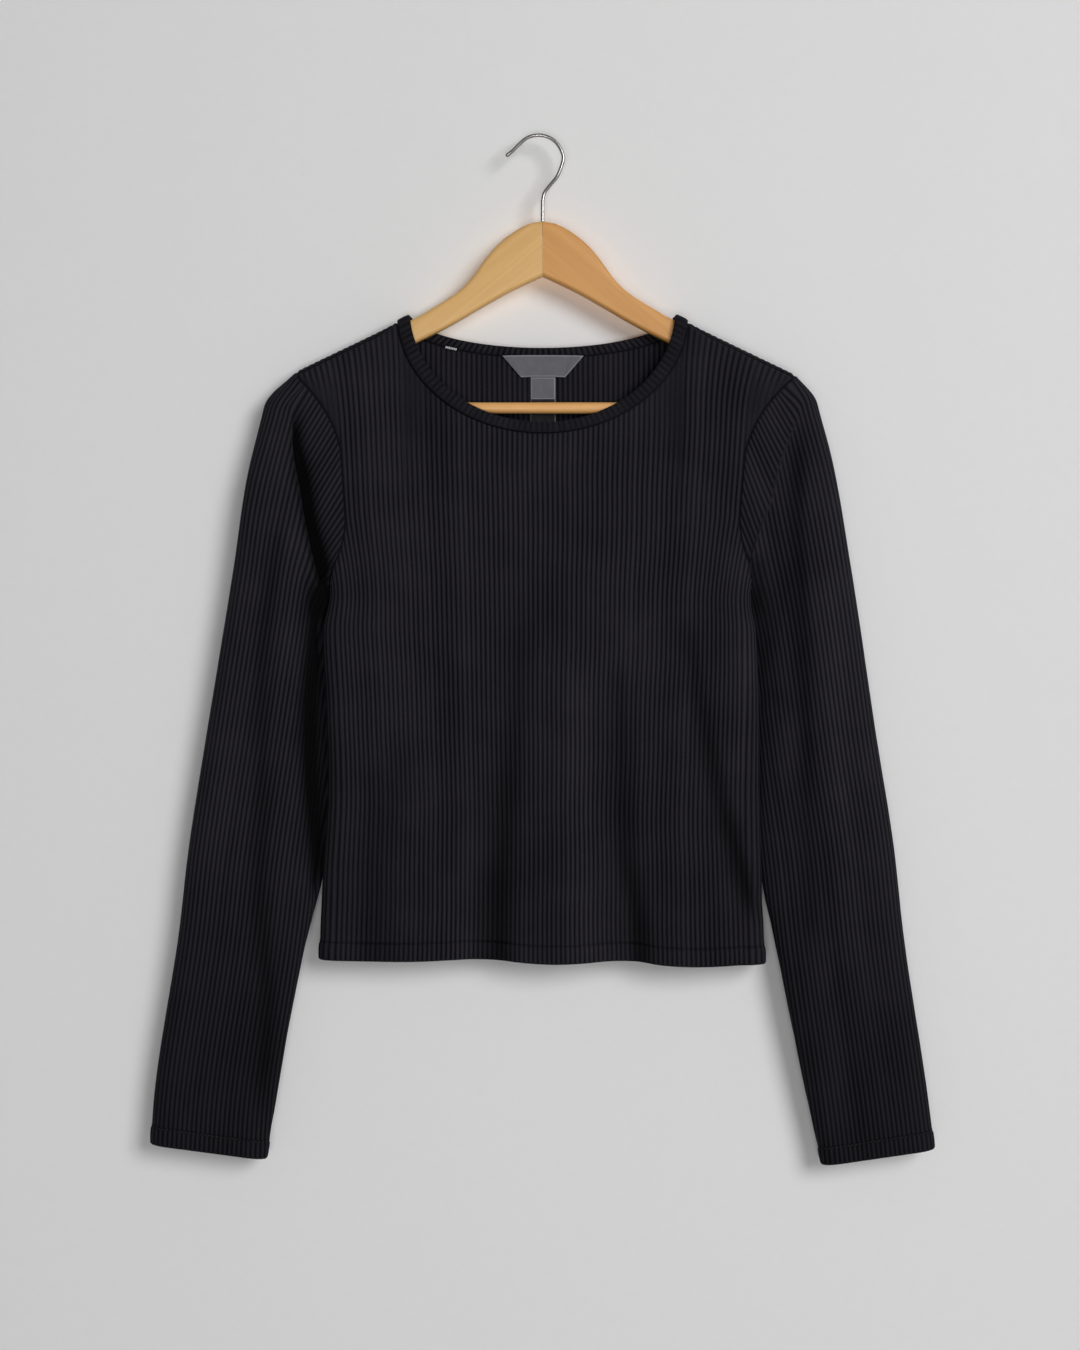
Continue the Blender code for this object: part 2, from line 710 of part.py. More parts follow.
def smooth_line(points, steps):
    """Catmull-Rom points through a few chosen ones."""
    points = [np.array(point) for point in points]
    ends = [2 * points[0] - points[1], *points, 2 * points[-1] - points[-2]]
    line = []
    for a, b, c, d in zip(ends, ends[1:], ends[2:], ends[3:]):
        for k in range(steps):
            t = k / steps
            line.append(
                b + t * (c - a) / 2 + t**2 * (a - 2.5 * b + 2 * c - d / 2) + t**3 * (1.5 * (b - c) + (d - a) / 2)
            )
    return line + [points[-1]]


def make_arm(name, side):
    """One flat arm with rounded edges; its meeting face is square, with half of the hook's hole in it."""
    outline = [(SEAM_GAP / 2, ARM_TOP[0][1])] + list(ARM_TOP[1:]) + list(ARM_END) + list(ARM_UNDER[:-1])
    outline.append((SEAM_GAP / 2, ARM_UNDER[-1][1]))
    form = bmesh.new()
    corners = [
        form.verts.new((MM * (CENTRE_X + side * d), -MM * ARM_THICK / 2, MM * z)) for d, z in outline
    ]
    front = form.faces.new(corners)
    moved = bmesh.ops.extrude_face_region(form, geom=[front])["geom"]
    for vertex in (item for item in moved if isinstance(item, bmesh.types.BMVert)):
        vertex.co.y += MM * ARM_THICK
    bmesh.ops.recalc_face_normals(form, faces=form.faces)
    joint_x = MM * (CENTRE_X + side * SEAM_GAP)
    rounded = []
    for edge in form.edges:
        level = abs(edge.verts[0].co.y - edge.verts[1].co.y) < MM * 0.01
        at_joint = all(abs(v.co.x - joint_x) < MM * SEAM_GAP for v in edge.verts)
        if level and not at_joint:
            rounded.append(edge)
    bmesh.ops.bevel(
        form, geom=rounded, offset=MM * ARM_EDGE, offset_type="OFFSET", segments=2, profile=0.5,
        affect="EDGES", clamp_overlap=True,
    )
    mesh = bpy.data.meshes.new(name)
    form.to_mesh(mesh)
    form.free()
    arm = add_object(name, mesh, "wood")
    hole = arm.modifiers.new("hook hole", "BOOLEAN")
    hole.operation = "DIFFERENCE"
    hole.solver = "EXACT"
    hole.object = hook_hole()
    return arm


def hook_hole():
    """The cutter for the hook's hole on the centre line, shared by both arms."""
    found = bpy.data.objects.get("hook_hole")
    if found:
        return found
    top, bottom = ARM_TOP[0][1] + 6.0, STEM_BOTTOM_Z - SEAM_GAP
    form = bmesh.new()
    bmesh.ops.create_cone(
        form, cap_ends=True, segments=12, radius1=MM * (WIRE_DIAMETER / 2 + SEAM_GAP),
        radius2=MM * (WIRE_DIAMETER / 2 + SEAM_GAP), depth=MM * (top - bottom),
        matrix=Matrix.Translation(Vector((CENTRE_X, 0, (top + bottom) / 2)) * MM),
    )
    mesh = bpy.data.meshes.new("hook_hole")
    form.to_mesh(mesh)
    form.free()
    cutter = bpy.data.objects.new("hook_hole", mesh)
    bpy.context.scene.collection.objects.link(cutter)
    cutter.hide_render = True
    cutter.display_type = "WIRE"
    return cutter


def make_bar():
    form = bmesh.new()
    length = 2 * (BAR_REACH - SEAM_GAP)
    turn = Matrix.Translation(Vector((CENTRE_X, 0, BAR_Z)) * MM) @ Matrix.Rotation(math.pi / 2, 4, "Y")
    bmesh.ops.create_cone(
        form, cap_ends=True, segments=16, radius1=MM * BAR_DIAMETER / 2, radius2=MM * BAR_DIAMETER / 2,
        depth=MM * length, matrix=turn,
    )
    mesh = bpy.data.meshes.new("hanger_bar")
    form.to_mesh(mesh)
    form.free()
    return add_object("hanger_bar", mesh, "wood")


def hook_route():
    """The wire's middle line from its tip over the crown down into the arms."""
    crown_z = WIRE_DIAMETER / 2 - CROWN_RADIUS
    crown = []
    for degrees in range(CROWN_FROM_DEG, CROWN_TO_DEG - 1, -CROWN_STEP_DEG):
        angle = math.radians(degrees)
        crown.append((CROWN_X + CROWN_RADIUS * math.cos(angle), crown_z + CROWN_RADIUS * math.sin(angle)))
    bend = smooth_line(list(HOOK_TIP) + crown + list(HOOK_NECK), 2)
    return bend + [np.array((CENTRE_X, STEM_BOTTOM_Z))]


def make_hook():
    curve = bpy.data.curves.new("hanger_hook", "CURVE")
    curve.dimensions = "3D"
    curve.bevel_depth = MM * WIRE_DIAMETER / 2
    curve.bevel_resolution = 2
    curve.use_fill_caps = True
    route = hook_route()
    spline = curve.splines.new("POLY")
    spline.points.add(len(route) - 1)
    for point, (x, z) in zip(spline.points, route):
        point.co = (MM * x, 0, MM * z, 1)
    return add_object("hanger_hook", curve, "steel")


def main():
    clear_scene()
    front = panel_wall("front_panel", -1)
    back = panel_wall("back_panel", 1)
    front.build("knit")
    back.build("knit")
    sleeve_wall("sleeve_left", -1, front, back).build("knit")
    sleeve_wall("sleeve_right", 1, front, back).build("knit")
    make_neckband()
    for name in LABELS:
        make_label(name)
    make_arm("hanger_arm_left", -1)
    make_arm("hanger_arm_right", 1)
    make_bar()
    make_hook()


main()
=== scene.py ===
"""A ribbed, long-sleeved crop top on its wooden hanger: the finished look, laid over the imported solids.

Sizes are in millimetres and become metres where a mesh is made. -Y is the front, +Z is up and the
origin is under the crown of the hook. The named sizes are those of the solids, so each piece of cloth
lies where its solid is, apart from the inner edges of the sleeves, which are tucked further behind the
body. What is added here is the round of the ribs, the seams, stitches and creases, and the finishes.
"""

import math

import bmesh
import bpy
import numpy as np
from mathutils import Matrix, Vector


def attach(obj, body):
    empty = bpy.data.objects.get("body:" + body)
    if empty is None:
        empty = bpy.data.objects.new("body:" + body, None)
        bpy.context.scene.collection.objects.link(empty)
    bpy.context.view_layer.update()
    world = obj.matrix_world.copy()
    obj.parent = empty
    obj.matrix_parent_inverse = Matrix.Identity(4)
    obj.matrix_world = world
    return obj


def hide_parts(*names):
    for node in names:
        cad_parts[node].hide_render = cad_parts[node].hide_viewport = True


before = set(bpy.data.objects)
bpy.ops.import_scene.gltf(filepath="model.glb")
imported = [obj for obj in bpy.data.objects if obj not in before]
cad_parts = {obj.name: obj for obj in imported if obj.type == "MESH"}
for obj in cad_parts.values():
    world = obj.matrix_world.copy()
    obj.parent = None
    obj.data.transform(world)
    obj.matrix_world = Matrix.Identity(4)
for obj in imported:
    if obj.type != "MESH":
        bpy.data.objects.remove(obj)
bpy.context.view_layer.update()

MM = 0.001
ROOT = "root"
SEAM_GAP = 0.3

# ---------------------------------------------------------------- sizes of the solids

CENTRE_X = 2.0
ARM_THICK, ARM_EDGE = 11.0, 3.6
ARM_GAP = 0.1  # from the centre line to an arm's square end
BAR_DIAMETER = 9.0
BAR_Z = -216.8
BAR_REACH = 184.0
WIRE_DIAMETER = 3.0
STEM_BOTTOM_Z = -80.0

# The outline of an arm, x from the centre line and z: over its top, round its tip and back underneath
ARM_TOP = (
    (0.0, -67.8), (12.0, -70.2), (26.4, -78.6), (37.4, -88.0), (46.6, -99.0), (56.0, -112.2),
    (65.2, -122.0), (74.4, -128.8), (88.0, -137.2), (103.6, -146.0), (150.0, -167.6), (197.5, -191.1),
)
ARM_TIP = (
    (207.5, -199.8), (212.5, -206.5), (214.0, -214.0), (211.0, -223.0),
    (203.0, -229.5), (192.0, -230.0), (184.0, -224.0), (182.0, -207.0),
)
ARM_UNDER = ((166.0, -196.4), (101.9, -165.4), (72.5, -150.6), (50.0, -137.6), (26.4, -124.4), (0.0, -111.8))
GRAIN_FROM, GRAIN_TO = 4, 9  # the grain of an arm runs along these two points of its top

CROWN_X = -1.2
CROWN_RADIUS = 19.7
CROWN_FROM_DEG, CROWN_TO_DEG, CROWN_STEP_DEG = 140, 0, 20
HOOK_TIP = ((-27.4, -15.6), (-22.0, -11.2))
HOOK_SWELL, HOOK_SWELL_AT, HOOK_SWELL_REACH, HOOK_END = 0.28, 1.6, 2.4, 1.5
HOOK_NECK = ((14.2, -30.6), (8.2, -38.4), (3.6, -44.6), (2.0, -51.0))

WALL = 1.25
RIB_HEIGHT = 0.65
TURN_UP = 0.8

RIBS = 96
RIBS_BETWEEN_ARMHOLES = 80
INNER = RIBS_BETWEEN_ARMHOLES / RIBS

HEM_Z = -659.0
HEM_TILT = -0.010
HEM_DEPTH = 14.0
UNDERARM_Z = -362.4
ARMHOLE_WAIST_Z = -303.2
ARMHOLE_WAIST = 157.0
ARMHOLE_SHAPE = 0.65
RIBS_AT_SHOULDER = 92
SHOULDER_FAN_POWER = 6
SHOULDER_FAN_CLIMB = 5
SIDE_SQUEEZE_POWER = 5
SHOULDER_POINT_Z = -194.4
SHOULDER_REACH = {-1: 194.0, 1: 199.0}
SHOULDER_SLOPE = 0.48
NECK_POINT_Z = -149.0
SEARCH_TOP_Z = NECK_POINT_Z + 30.0
NECK_BUMP, NECK_BUMP_AT, NECK_BUMP_REACH = 1.0, 110.0, 12.0
FOLD_RADIUS = 8.5
FACE_DEPTH = 9.2
DEPTH_GROWTH = 0.008
SIDE_ROUND = 14.0
ARC_SHARE = 1.2
SEAM_ANGLE = math.radians(38)
SEAM_ANGLE_AT_NECK = math.radians(62)
SEAM_RISE = 18.0

# The body's half widths at a height, to the left and to the right of the centre line
BODY_WIDTHS = (
    (-660.0, 178.0, 177.4), (-590.4, 175.2, 174.8), (-527.2, 171.2, 173.2), (-454.4, 172.4, 172.4),
    (-395.0, 175.0, 169.4), (-362.4, 169.6, 166.4), (-303.2, 185.6, 185.6),
)

# How far out the rib at the armhole's waist would lie at a height, if all ribs kept its pitch
RIB_REACH = (
    (-660.0, 147.0), (-590.0, 145.5), (-530.0, 144.5), (-418.0, 151.0),
    (-334.0, 155.6), (-303.2, 157.0), (-250.0, 160.5), (-194.4, 162.5),
)

# Soft upright folds: x at the hem, x where it fades out, half width, depth outwards, height of its top
FOLDS = {
    -1: (
        (-125.0, -118.0, 26.0, 2.0, -470.0),
        (-51.0, -42.0, 22.0, -3.6, -400.0),
        (22.0, 14.0, 26.0, 3.0, -380.0),
        (66.0, 52.0, 20.0, -3.6, -420.0),
        (128.0, 118.0, 22.0, 2.6, -450.0),
        (158.0, 146.0, 9.0, -2.2, -500.0),
    ),
    1: (
        (-118.0, -110.0, 22.0, -2.8, -440.0),
        (-62.0, -50.0, 26.0, 3.2, -390.0),
        (4.0, 0.0, 24.0, -3.4, -400.0),
        (70.0, 60.0, 26.0, 3.0, -410.0),
        (126.0, 116.0, 20.0, -2.6, -460.0),
    ),
}

# Half width of the neck at its seam and at the band's edge, and their lowest z in front and at the back
NECK_SEAM = {"half": 115.2, -1: -237.3, 1: -175.2}
NECK_EDGE = {"half": 105.6, -1: -229.0, 1: -167.2}
NECKBAND_RIBS = 126
NECKBAND_RIB_HEIGHT = 0.5

# Sleeves, ring by ring below the cap: x and z at the outer edge, x and z at the inner edge, half depth,
# rounding at the outer and the inner edge, how far the ring's lower half sinks in, and how far its inner
# edge is tucked to the back, behind the body's side
SLEEVE_RIBS = 60
RIB_PITCH = 3.68
SLEEVE_RINGS = {
    -1: (
        (-232.6, -268.0, -172.4, -388.0, 11.0, 14.0, 12.0, 0.0, 6.6),
        (-244.4, -345.0, -171.6, -428.0, 12.0, 15.0, 22.0, 0.0, 7.4),
        (-266.0, -477.0, -170.2, -497.0, 12.0, 16.0, 26.0, 0.0, 7.0),
        (-280.8, -573.0, -173.4, -585.0, 11.5, 16.0, 20.0, 0.0, 6.0),
        (-287.2, -628.0, -187.2, -642.0, 11.0, 15.5, 17.0, 0.0, 0.0),
        (-309.4, -785.6, -216.4, -798.0, 9.5, 14.0, 14.0, 0.0, 0.0),
        (-310.4, -804.8, -219.6, -816.8, 9.5, 14.0, 14.0, 0.0, 0.0),
    ),
    1: (
        (233.8, -262.0, 170.8, -388.0, 10.0, 14.0, 12.0, 1.2, 6.6),
        (248.2, -345.0, 172.8, -428.0, 12.0, 15.0, 16.0, 0.0, 7.4),
        (268.0, -477.0, 175.6, -497.0, 12.0, 16.0, 22.0, 0.0, 7.0),
        (283.0, -573.0, 177.6, -590.0, 11.5, 16.0, 18.0, 0.0, 6.0),
        (289.0, -628.0, 188.0, -642.0, 11.0, 15.5, 16.0, 0.0, 0.0),
        (312.4, -789.6, 222.0, -804.0, 9.5, 14.0, 14.0, 0.0, 0.0),
        (314.6, -808.8, 226.2, -821.6, 9.5, 14.0, 14.0, 0.0, 0.0),
    ),
}
TUCK_FROM = 0.5
CREASE_FROM, CREASE_FULL = 0.3, 0.6

# Half widths of each label at its top and bottom, z of both, and 1 for the one that lies behind
LABEL_X = 2.4
LABEL_THICK = 0.6
LABELS = {
    "neck_label": (32.6, 17.6, -173.6, -191.0, 0),
    "size_tag": (9.8, 9.8, -191.4, -209.0, 0),
    "care_label": (10.1, 10.1, -191.4, -243.6, 1),
}


# ---------------------------------------------------------------- sizes of what is added here

FINE = 6  # columns of points across one rib on the outside
INSIDE_STRIDE = 2  # every how many of those columns the inside of the body has
SLEEVE_STRIDE = 3  # and the inside of a sleeve
RIB_ROUND, RIB_UNEVEN, SHORTEST_RIB = 0.8, 0.12, 1.2
RIBS_FROM_SEAM, LOOK_FROM_SEAM = 2.4, 1.6  # how far from a seam the ribs and the shade painted in their grooves are full
WIDE_RIB, WIDE_RIB_FADE, WIDE_RIB_RISE = (4.1, 7.0), 0.75, 30.0  # stretched ribs lie flatter
WANDER_MM, WANDER_FADE, WANDER_POWER, WANDER_SPREAD = 0.4, 40.0, 8, 14
SEAM_DIP, SIDE_DIP, SEAM_DIP_WIDTH = 0.85, 0.6, 1.5
SEAM_STEP = 0.8
OWN_TONE, GROUP_TONE, TONE_GROUP, TONE_MARGIN, SLOW_TONE = 0.45, 1.3, 5, 4, 0.8
UNEVEN_WAVES = ((220.0, 0.6), (90.0, 0.4), (38.0, 0.2))  # length and weight
UNEVEN_DRAWS, UNEVEN_LEAN, UNEVEN_SUM = 3, 0.35, 1.6
SLIGHT = 1e-9
PROBE_S, PROBE_H = 0.0004, 0.05
PLACE_ROUNDS, HALVINGS = 14, 36  # of the searches for a rib's place and for its ends
CHUNK = 4000
SEEDS = {"band": 3, "panel": 5, "sway": 11, "sleeve": 15, "panel_ribs": 31, "sleeve_ribs": 41}

HEM_STOPS = (0.0, 0.5, 1.2, 2.5, 5.0, 8.0, 11.0, 12.6, 13.4, 14.0, 14.6, 15.4, 16.5, 18.5)
LOWER_COUNT, LOWER_POWER = 52, 1.4
UPPER_COUNT, UPPER_POWER = 40, 1.6
HEM_STEP, HEM_SWELL = 2.0, 0.3
EDGE_ROUND, EDGE_REACH = 0.7, 1.4
INSIDE_RIB, INSIDE_EDGE, INSIDE_HEM, INSIDE_HEM_STEP = 0.45, 0.5, 0.35, (-0.4, 0.6)
STITCH_GROOVE, STITCH_GROOVE_WIDTH, STITCH_LIFT = 0.75, 0.6, 0.25
STITCH_PITCH, STITCH_LENGTH, STITCH_RADIUS = 3.1, 2.5, 0.32
STITCH_START, STITCH_END = 1.0, 3.0
# The bar tack at the back neck: its ends in x, z where it starts and how it slopes, how far it lies in
# front of the cloth, its stitches, how they lean and how thick they are
TACK_X, TACK_Z, TACK_SLOPE, TACK_IN = (-75.4, -67.6), -167.4, 0.22, 1.9
TACK_COUNT, TACK_LEAN, TACK_RADIUS = 7, (0.55, 0.0, 0.9), 0.72

# Painted shade laid into the cloth's colour, where seams, troughs, the underarms, the inside and the lower
# parts would lie in shade: 0 as it is elsewhere, 1 nearly black, and below 0 painted lighter on ridges
PAINTED_SHADE_DEPTH = 6.0  # a trough this deep is painted quite dark
# how much lighter a ridge may be painted
PAINTED_LIGHT_LIMIT = -0.35
# painted shade in the seams' grooves
SEAM_PAINTED_SHADE, SEAM_PAINTED_SHADE_WIDTH = 0.85, 0.9
# painted shade along the stitched groove of a turned-up edge
HEM_PAINTED_SHADE, HEM_PAINTED_SHADE_WIDTH, HEM_PAINTED_SHADE_ABOVE = 0.42, 0.9, 0.6
PIT_AT, PIT_REACH, PIT_PAINTED_SHADE = (171.0, -372.0), 15.0, {-1: 1.0, 1: 0.35}  # painted shade under the arms
FOLD_PAINTED_SHADE = {-1: 0.1, 1: 0.0}  # painted shade beside the cap's fold, for each mm of drop
UNDER_FOLD, OVER_FOLD = 15.0, 4.6  # how far it reaches from the fold, in the cap and on the sleeve
# painted shade on the cloth's inside, and how much the whole neckband is darkened evenly
INSIDE_PAINTED_SHADE, BAND_DARKENING = 0.16, 0.22
# painted shade on the sleeves, darker towards the cuffs
CUFF_PAINTED_SHADE, CUFF_PAINTED_SHADE_Z = 0.36, (-780.0, -500.0)
# painted shade on the body, darker towards the hem
LOW_PAINTED_SHADE, LOW_PAINTED_SHADE_Z = 0.13, (-640.0, -420.0)
CREASE_STEPS, CREASE_STARTS, CREASE_ENDS = 6, 0.12, 0.9

# How far the front's hem waves up and down, by x
HEM_WAVES = ((-180.0, 0.0), (-92.0, 0.0), (-59.0, 1.9), (8.0, -1.3), (72.0, 1.4), (98.0, -1.4), (180.0, 0.0))

# Creases drawn on the sleeves and the body: a path of (x, z), its depth outwards at the start
# and the end, and how wide it is to the left and to the right of the path
CREASES = {
    ("sleeve", -1, -1): (
        (
            (
                (-173.5, -345), (-173.6, -375), (-178.0, -410), (-182.0, -450),
                (-182.0, -498), (-179.0, -546), (-174.6, -590), (-172.0, -620),
            ),
            (-7.6, -6.4), (10.5, 8.0), (14.0, 11.0),
        ),
        (
            (
                (-205.0, -290), (-217.6, -370), (-223.0, -450), (-222.4, -530), (-224.0, -610),
                (-217.6, -690), (-220.8, -754), (-222.0, -790),
            ),
            (-2.4, -2.8), (7.0, 9.0), (7.0, 9.0),
        ),
        (
            ((-199.0, -300), (-195.0, -350), (-196.0, -410), (-200.0, -480)),
            (0.9, 0.9), (8.0, 9.0), (8.0, 9.0),
        ),
    ),
    ("sleeve", 1, -1): (
        (
            (
                (207.5, -222), (205.2, -250), (203.6, -300), (206.8, -370), (210.2, -450),
                (210.0, -530), (214.4, -610), (220.0, -670),
            ),
            (-4.0, -1.6), (8.0, 10.0), (6.0, 7.0),
        ),
        (
            (
                (231.0, -270), (231.0, -330), (231.0, -380), (236.0, -450), (237.0, -530),
                (242.0, -610), (248.0, -680),
            ),
            (1.8, 1.0), (9.0, 10.0), (9.0, 10.0),
        ),
        (
            ((169.0, -330), (174.0, -366), (178.0, -405), (183.0, -460)),
            (-3.4, -1.6), (9.0, 9.0), (9.0, 9.0),
        ),
    ),
    ("sleeve", -1, 1): (
        (
            ((-214.0, -250), (-206.0, -320), (-204.0, -390), (-212.0, -470)),
            (-2.6, -2.0), (9.0, 10.0), (7.0, 9.0),
        ),
    ),
    ("sleeve", 1, 1): (
        (
            ((216.0, -240), (208.0, -300), (206.0, -370), (212.0, -460)),
            (-2.8, -2.0), (7.0, 9.0), (9.0, 10.0),
        ),
    ),
    ("body", -1): (
        (
            (
                (-16.0, -360), (-16.5, -402), (-20.0, -466), (-26.0, -530), (-31.0, -578),
                (-33.0, -618), (-32.0, -690),
            ),
            (-1.4, -4.4), (9.0, 13.0), (9.0, 11.0),
        ),
        (
            ((60.0, -410), (64.0, -466), (66.0, -530), (67.5, -578), (76.0, -618), (82.0, -690)),
            (-1.6, -4.6), (7.0, 9.0), (8.0, 10.0),
        ),
        (
            ((110.0, -376), (121.0, -418), (129.6, -466), (144.0, -530), (158.0, -580), (172.0, -630)),
            (-1.6, -5.0), (8.0, 9.0), (7.0, 7.0),
        ),
        (
            ((-112.0, -470), (-119.0, -530), (-130.0, -578), (-130.0, -618), (-128.0, -690)),
            (-1.4, -2.6), (16.0, 18.0), (16.0, 18.0),
        ),
        (
            ((30.0, -410), (31.0, -470), (32.0, -560), (36.0, -690)),
            (1.2, 1.8), (13.0, 15.0), (13.0, 15.0),
        ),
        (
            ((-76.0, -580), (-74.0, -620), (-68.0, -650), (-66.0, -690)),
            (1.0, 3.4), (12.0, 12.0), (12.0, 12.0),
        ),
        (
            ((164.0, -380), (163.0, -430), (160.0, -480), (156.0, -520)),
            (1.6, 1.2), (9.0, 9.0), (9.0, 9.0),
        ),
    ),
    ("body", 1): (
        (
            ((-150.0, -470), (-154.0, -530), (-160.0, -600), (-162.0, -690)),
            (-1.0, -3.6), (7.0, 9.0), (6.0, 8.0),
        ),
        (
            ((72.0, -420), (70.0, -500), (64.0, -580), (62.0, -690)),
            (-1.0, -4.0), (8.0, 10.0), (8.0, 10.0),
        ),
    ),
}

# Where the cloth of a sleeve's cap turns down into the sleeve: the number of the rib from the outer
# edge, z on the armhole where it starts, and x and z of its turn
CAP_TURNS = {
    -1: (
        (0.0, -150.0, -221.0, -217.0),
        (4.4, -194.0, -208.0, -221.0),
        (8.6, -203.5, -197.2, -228.0),
        (9.8, -211.0, -197.4, -244.0),
        (13.9, -236.0, -191.6, -282.6),
        (17.4, -266.0, -186.4, -314.0),
        (20.8, -300.0, -181.0, -338.0),
        (23.6, -330.0, -176.4, -355.0),
        (27.0, -352.0, -171.6, -363.0),
        (30.0, -362.4, -167.6, -364.8),
    ),
    1: (
        (0.0, -150.0, 222.0, -214.0),
        (4.5, -195.5, 211.4, -216.0),
        (9.0, -210.0, 200.8, -236.4),
        (14.3, -234.0, 188.0, -273.3),
        (16.2, -245.0, 184.5, -290.4),
        (19.4, -270.0, 176.4, -311.0),
        (22.3, -307.0, 169.4, -332.0),
        (24.6, -337.0, 166.0, -348.0),
        (30.0, -362.4, 167.8, -363.4),
    ),
}
TURN_TUCK = 2.5
CAP_COLUMNS = {  # the columns of a half of the sleeve, and the ribs at which they lie
    -1: ((0, 43, 56, 145, 180), (0.0, 8.6, 9.8, 23.6, 30.0)),
    1: ((0, 27, 56, 142, 180), (0.0, 4.5, 9.0, 23.0, 30.0)),
}
CAP_PITCH = 3.75
CUT_FROM = {-1: 8.6, 1: 7.6}  # from this rib on, those of the cap end at the fold

# The fold along that turn, for each side and face: rib number, how far the cap's cloth drops to it,
# how far the sleeve's stands proud of it, and how high a plain ridge stands there
CAP_FOLDS = {
    (-1, -1): (
        (8.2, 0.0, 0.0, 0.0), (9.6, 5.0, 1.0, 0.0), (14.0, 8.6, 1.3, 0.0),
        (23.0, 8.6, 1.3, 0.0), (28.0, 2.0, 0.3, 0.0), (30.0, 0.0, 0.0, 0.0),
    ),
    (1, -1): (
        (6.0, 0.0, 0.0, 0.0), (9.0, 0.0, 0.0, 1.3), (18.0, 0.0, 0.0, 1.4),
        (22.0, 0.8, 0.0, 0.8), (30.0, 2.0, 0.0, 0.0),
    ),
    (-1, 1): ((8.2, 0.0, 0.0, 0.0), (11.0, 1.8, 0.3, 0.6), (25.0, 3.4, 0.6, 0.0), (30.0, 2.0, 0.0, 0.0)),
    (1, 1): ((6.8, 0.0, 0.0, 0.0), (10.0, 1.6, 0.3, 0.6), (25.0, 3.2, 0.5, 0.0), (30.0, 2.0, 0.0, 0.0)),
}
CAP_ROWS, CAP_ROW_POWER = 30, 1.35
CAP_BEND = (-2.0, 1.5)  # from and to these ribs round the first cut one, the cap stops bending
CUT_BLEND, CUT_REACH = (-0.4, 0.6), 1.3  # and its ribs start to end, this far before the fold
DROP_REACH = {-1: 13.0, 1: 8.0}
LIP_REACH, RIDGE_REACH = 4.5, 2.2
OVERHANG, OVERHANG_REACH, OVERHANG_DROP = 1.4, 2.4, (1.0, 4.0)
FOLD_FROM_SEAM, CREASE_FROM_SEAM = 5.0, 9.0
FACING = (0.1, 0.7)  # how squarely cloth faces front or back where its folds start and where they are full
TURN_DEPTH, TURN_ROUND, TURN_END = {-1: 10.2, 1: 9.6}, 12.0, 5.0
BODY_NORMALS, OWN_NORMALS = 8.0, (0.80, 0.94)
FOLD_STOPS = (0.4, 1.0, 1.8, 2.8, 4.2)
ROW_GAP, ROW_GROWTH, ROW_BLEND, LAST_GAP = 2.1, 2.6, 60.0, 3.0
LEAST_STEP, LEAST_REACH, LEAST_LENGTH = 1e-7, 1e-6, 1e-9
FAR_FROM_EDGE = 500.0


# ---------------------------------------------------------------- curves and meshes


def smooth_step(low, high, value):
    share = np.clip((value - low) / (high - low), 0.0, 1.0)
    return share * share * (3 - 2 * share)


def bell(value, width):
    return np.exp(-((value / width) ** 2))


def between(pair, share):
    return pair[0] + (pair[1] - pair[0]) * share


def cubic(at, keys, values, slopes):
    """The curve through values (any shape after the first axis) at rising keys, with these slopes."""
    at = np.clip(np.asarray(at, float), keys[0], keys[-1])
    k = np.clip(np.searchsorted(keys, at, side="right") - 1, 0, len(keys) - 2)
    span = (keys[k + 1] - keys[k]).reshape(at.shape + (1,) * (values.ndim - 1))
    share = (at - keys[k]).reshape(span.shape) / span
    rise, start, end = values[k + 1] - values[k], slopes[k] * span, slopes[k + 1] * span
    bend = 3 * rise - 2 * start - end + share * (start + end - 2 * rise)
    return values[k] + share * (start + share * bend)


def hermite(at, keys, values):
    """A smooth curve whose slopes lean towards the nearer neighbour."""
    keys, values = np.asarray(keys, float), np.asarray(values, float)
    gaps = np.diff(keys).reshape((-1,) + (1,) * (values.ndim - 1))
    slopes = np.diff(values, axis=0) / gaps
    middle = (gaps[1:] * slopes[:-1] + gaps[:-1] * slopes[1:]) / (gaps[:-1] + gaps[1:])
    return cubic(at, keys, values, np.concatenate((slopes[:1], middle, slopes[-1:])))


def table_curve(at, rows, column):
    """The solids' curve through one column of a table whose first column rises steadily."""
    table = np.array(rows)
    keys, values = table[:, 0], table[:, column]
    low = np.maximum(np.arange(len(keys)) - 1, 0)
    high = np.minimum(np.arange(len(keys)) + 1, len(keys) - 1)
    return cubic(at, keys, values, (values[high] - values[low]) / (keys[high] - keys[low]))


def smooth_line(points, steps):
    """Catmull-Rom points through a few chosen ones."""
    points = [np.array(point, float) for point in points]
    ends = [2 * points[0] - points[1], *points, 2 * points[-1] - points[-2]]
    line = []
    for a, b, c, d in zip(ends, ends[1:], ends[2:], ends[3:]):
        for k in range(steps):
            t = k / steps
            square, cube = a - 2.5 * b + 2 * c - d / 2, 1.5 * (b - c) + (d - a) / 2
            line.append(b + t * (c - a) / 2 + t**2 * square + t**3 * cube)
    return np.array(line + [points[-1]])


def along_path(path):
    steps = np.linalg.norm(np.diff(path, axis=0), axis=1)
    return np.concatenate(([0.0], np.cumsum(steps)))


def spaced(path, stops):
    """Points (and whatever else stands beside them in a row) at given distances along a path."""
    along = along_path(path[:, :3])
    return np.stack([np.interp(stops, along, path[:, k]) for k in range(path.shape[1])], axis=1)


def path_distance(points, path):
    """How far each point is from a path that is given by close points."""
    flat = points.reshape(-1, 3)
    found = np.empty(len(flat))
    for start in range(0, len(flat), CHUNK):
        part = flat[start : start + CHUNK]
        found[start : start + CHUNK] = np.sqrt(((part[:, None] - path[None]) ** 2).sum(2).min(1))
    return found.reshape(points.shape[:-1])


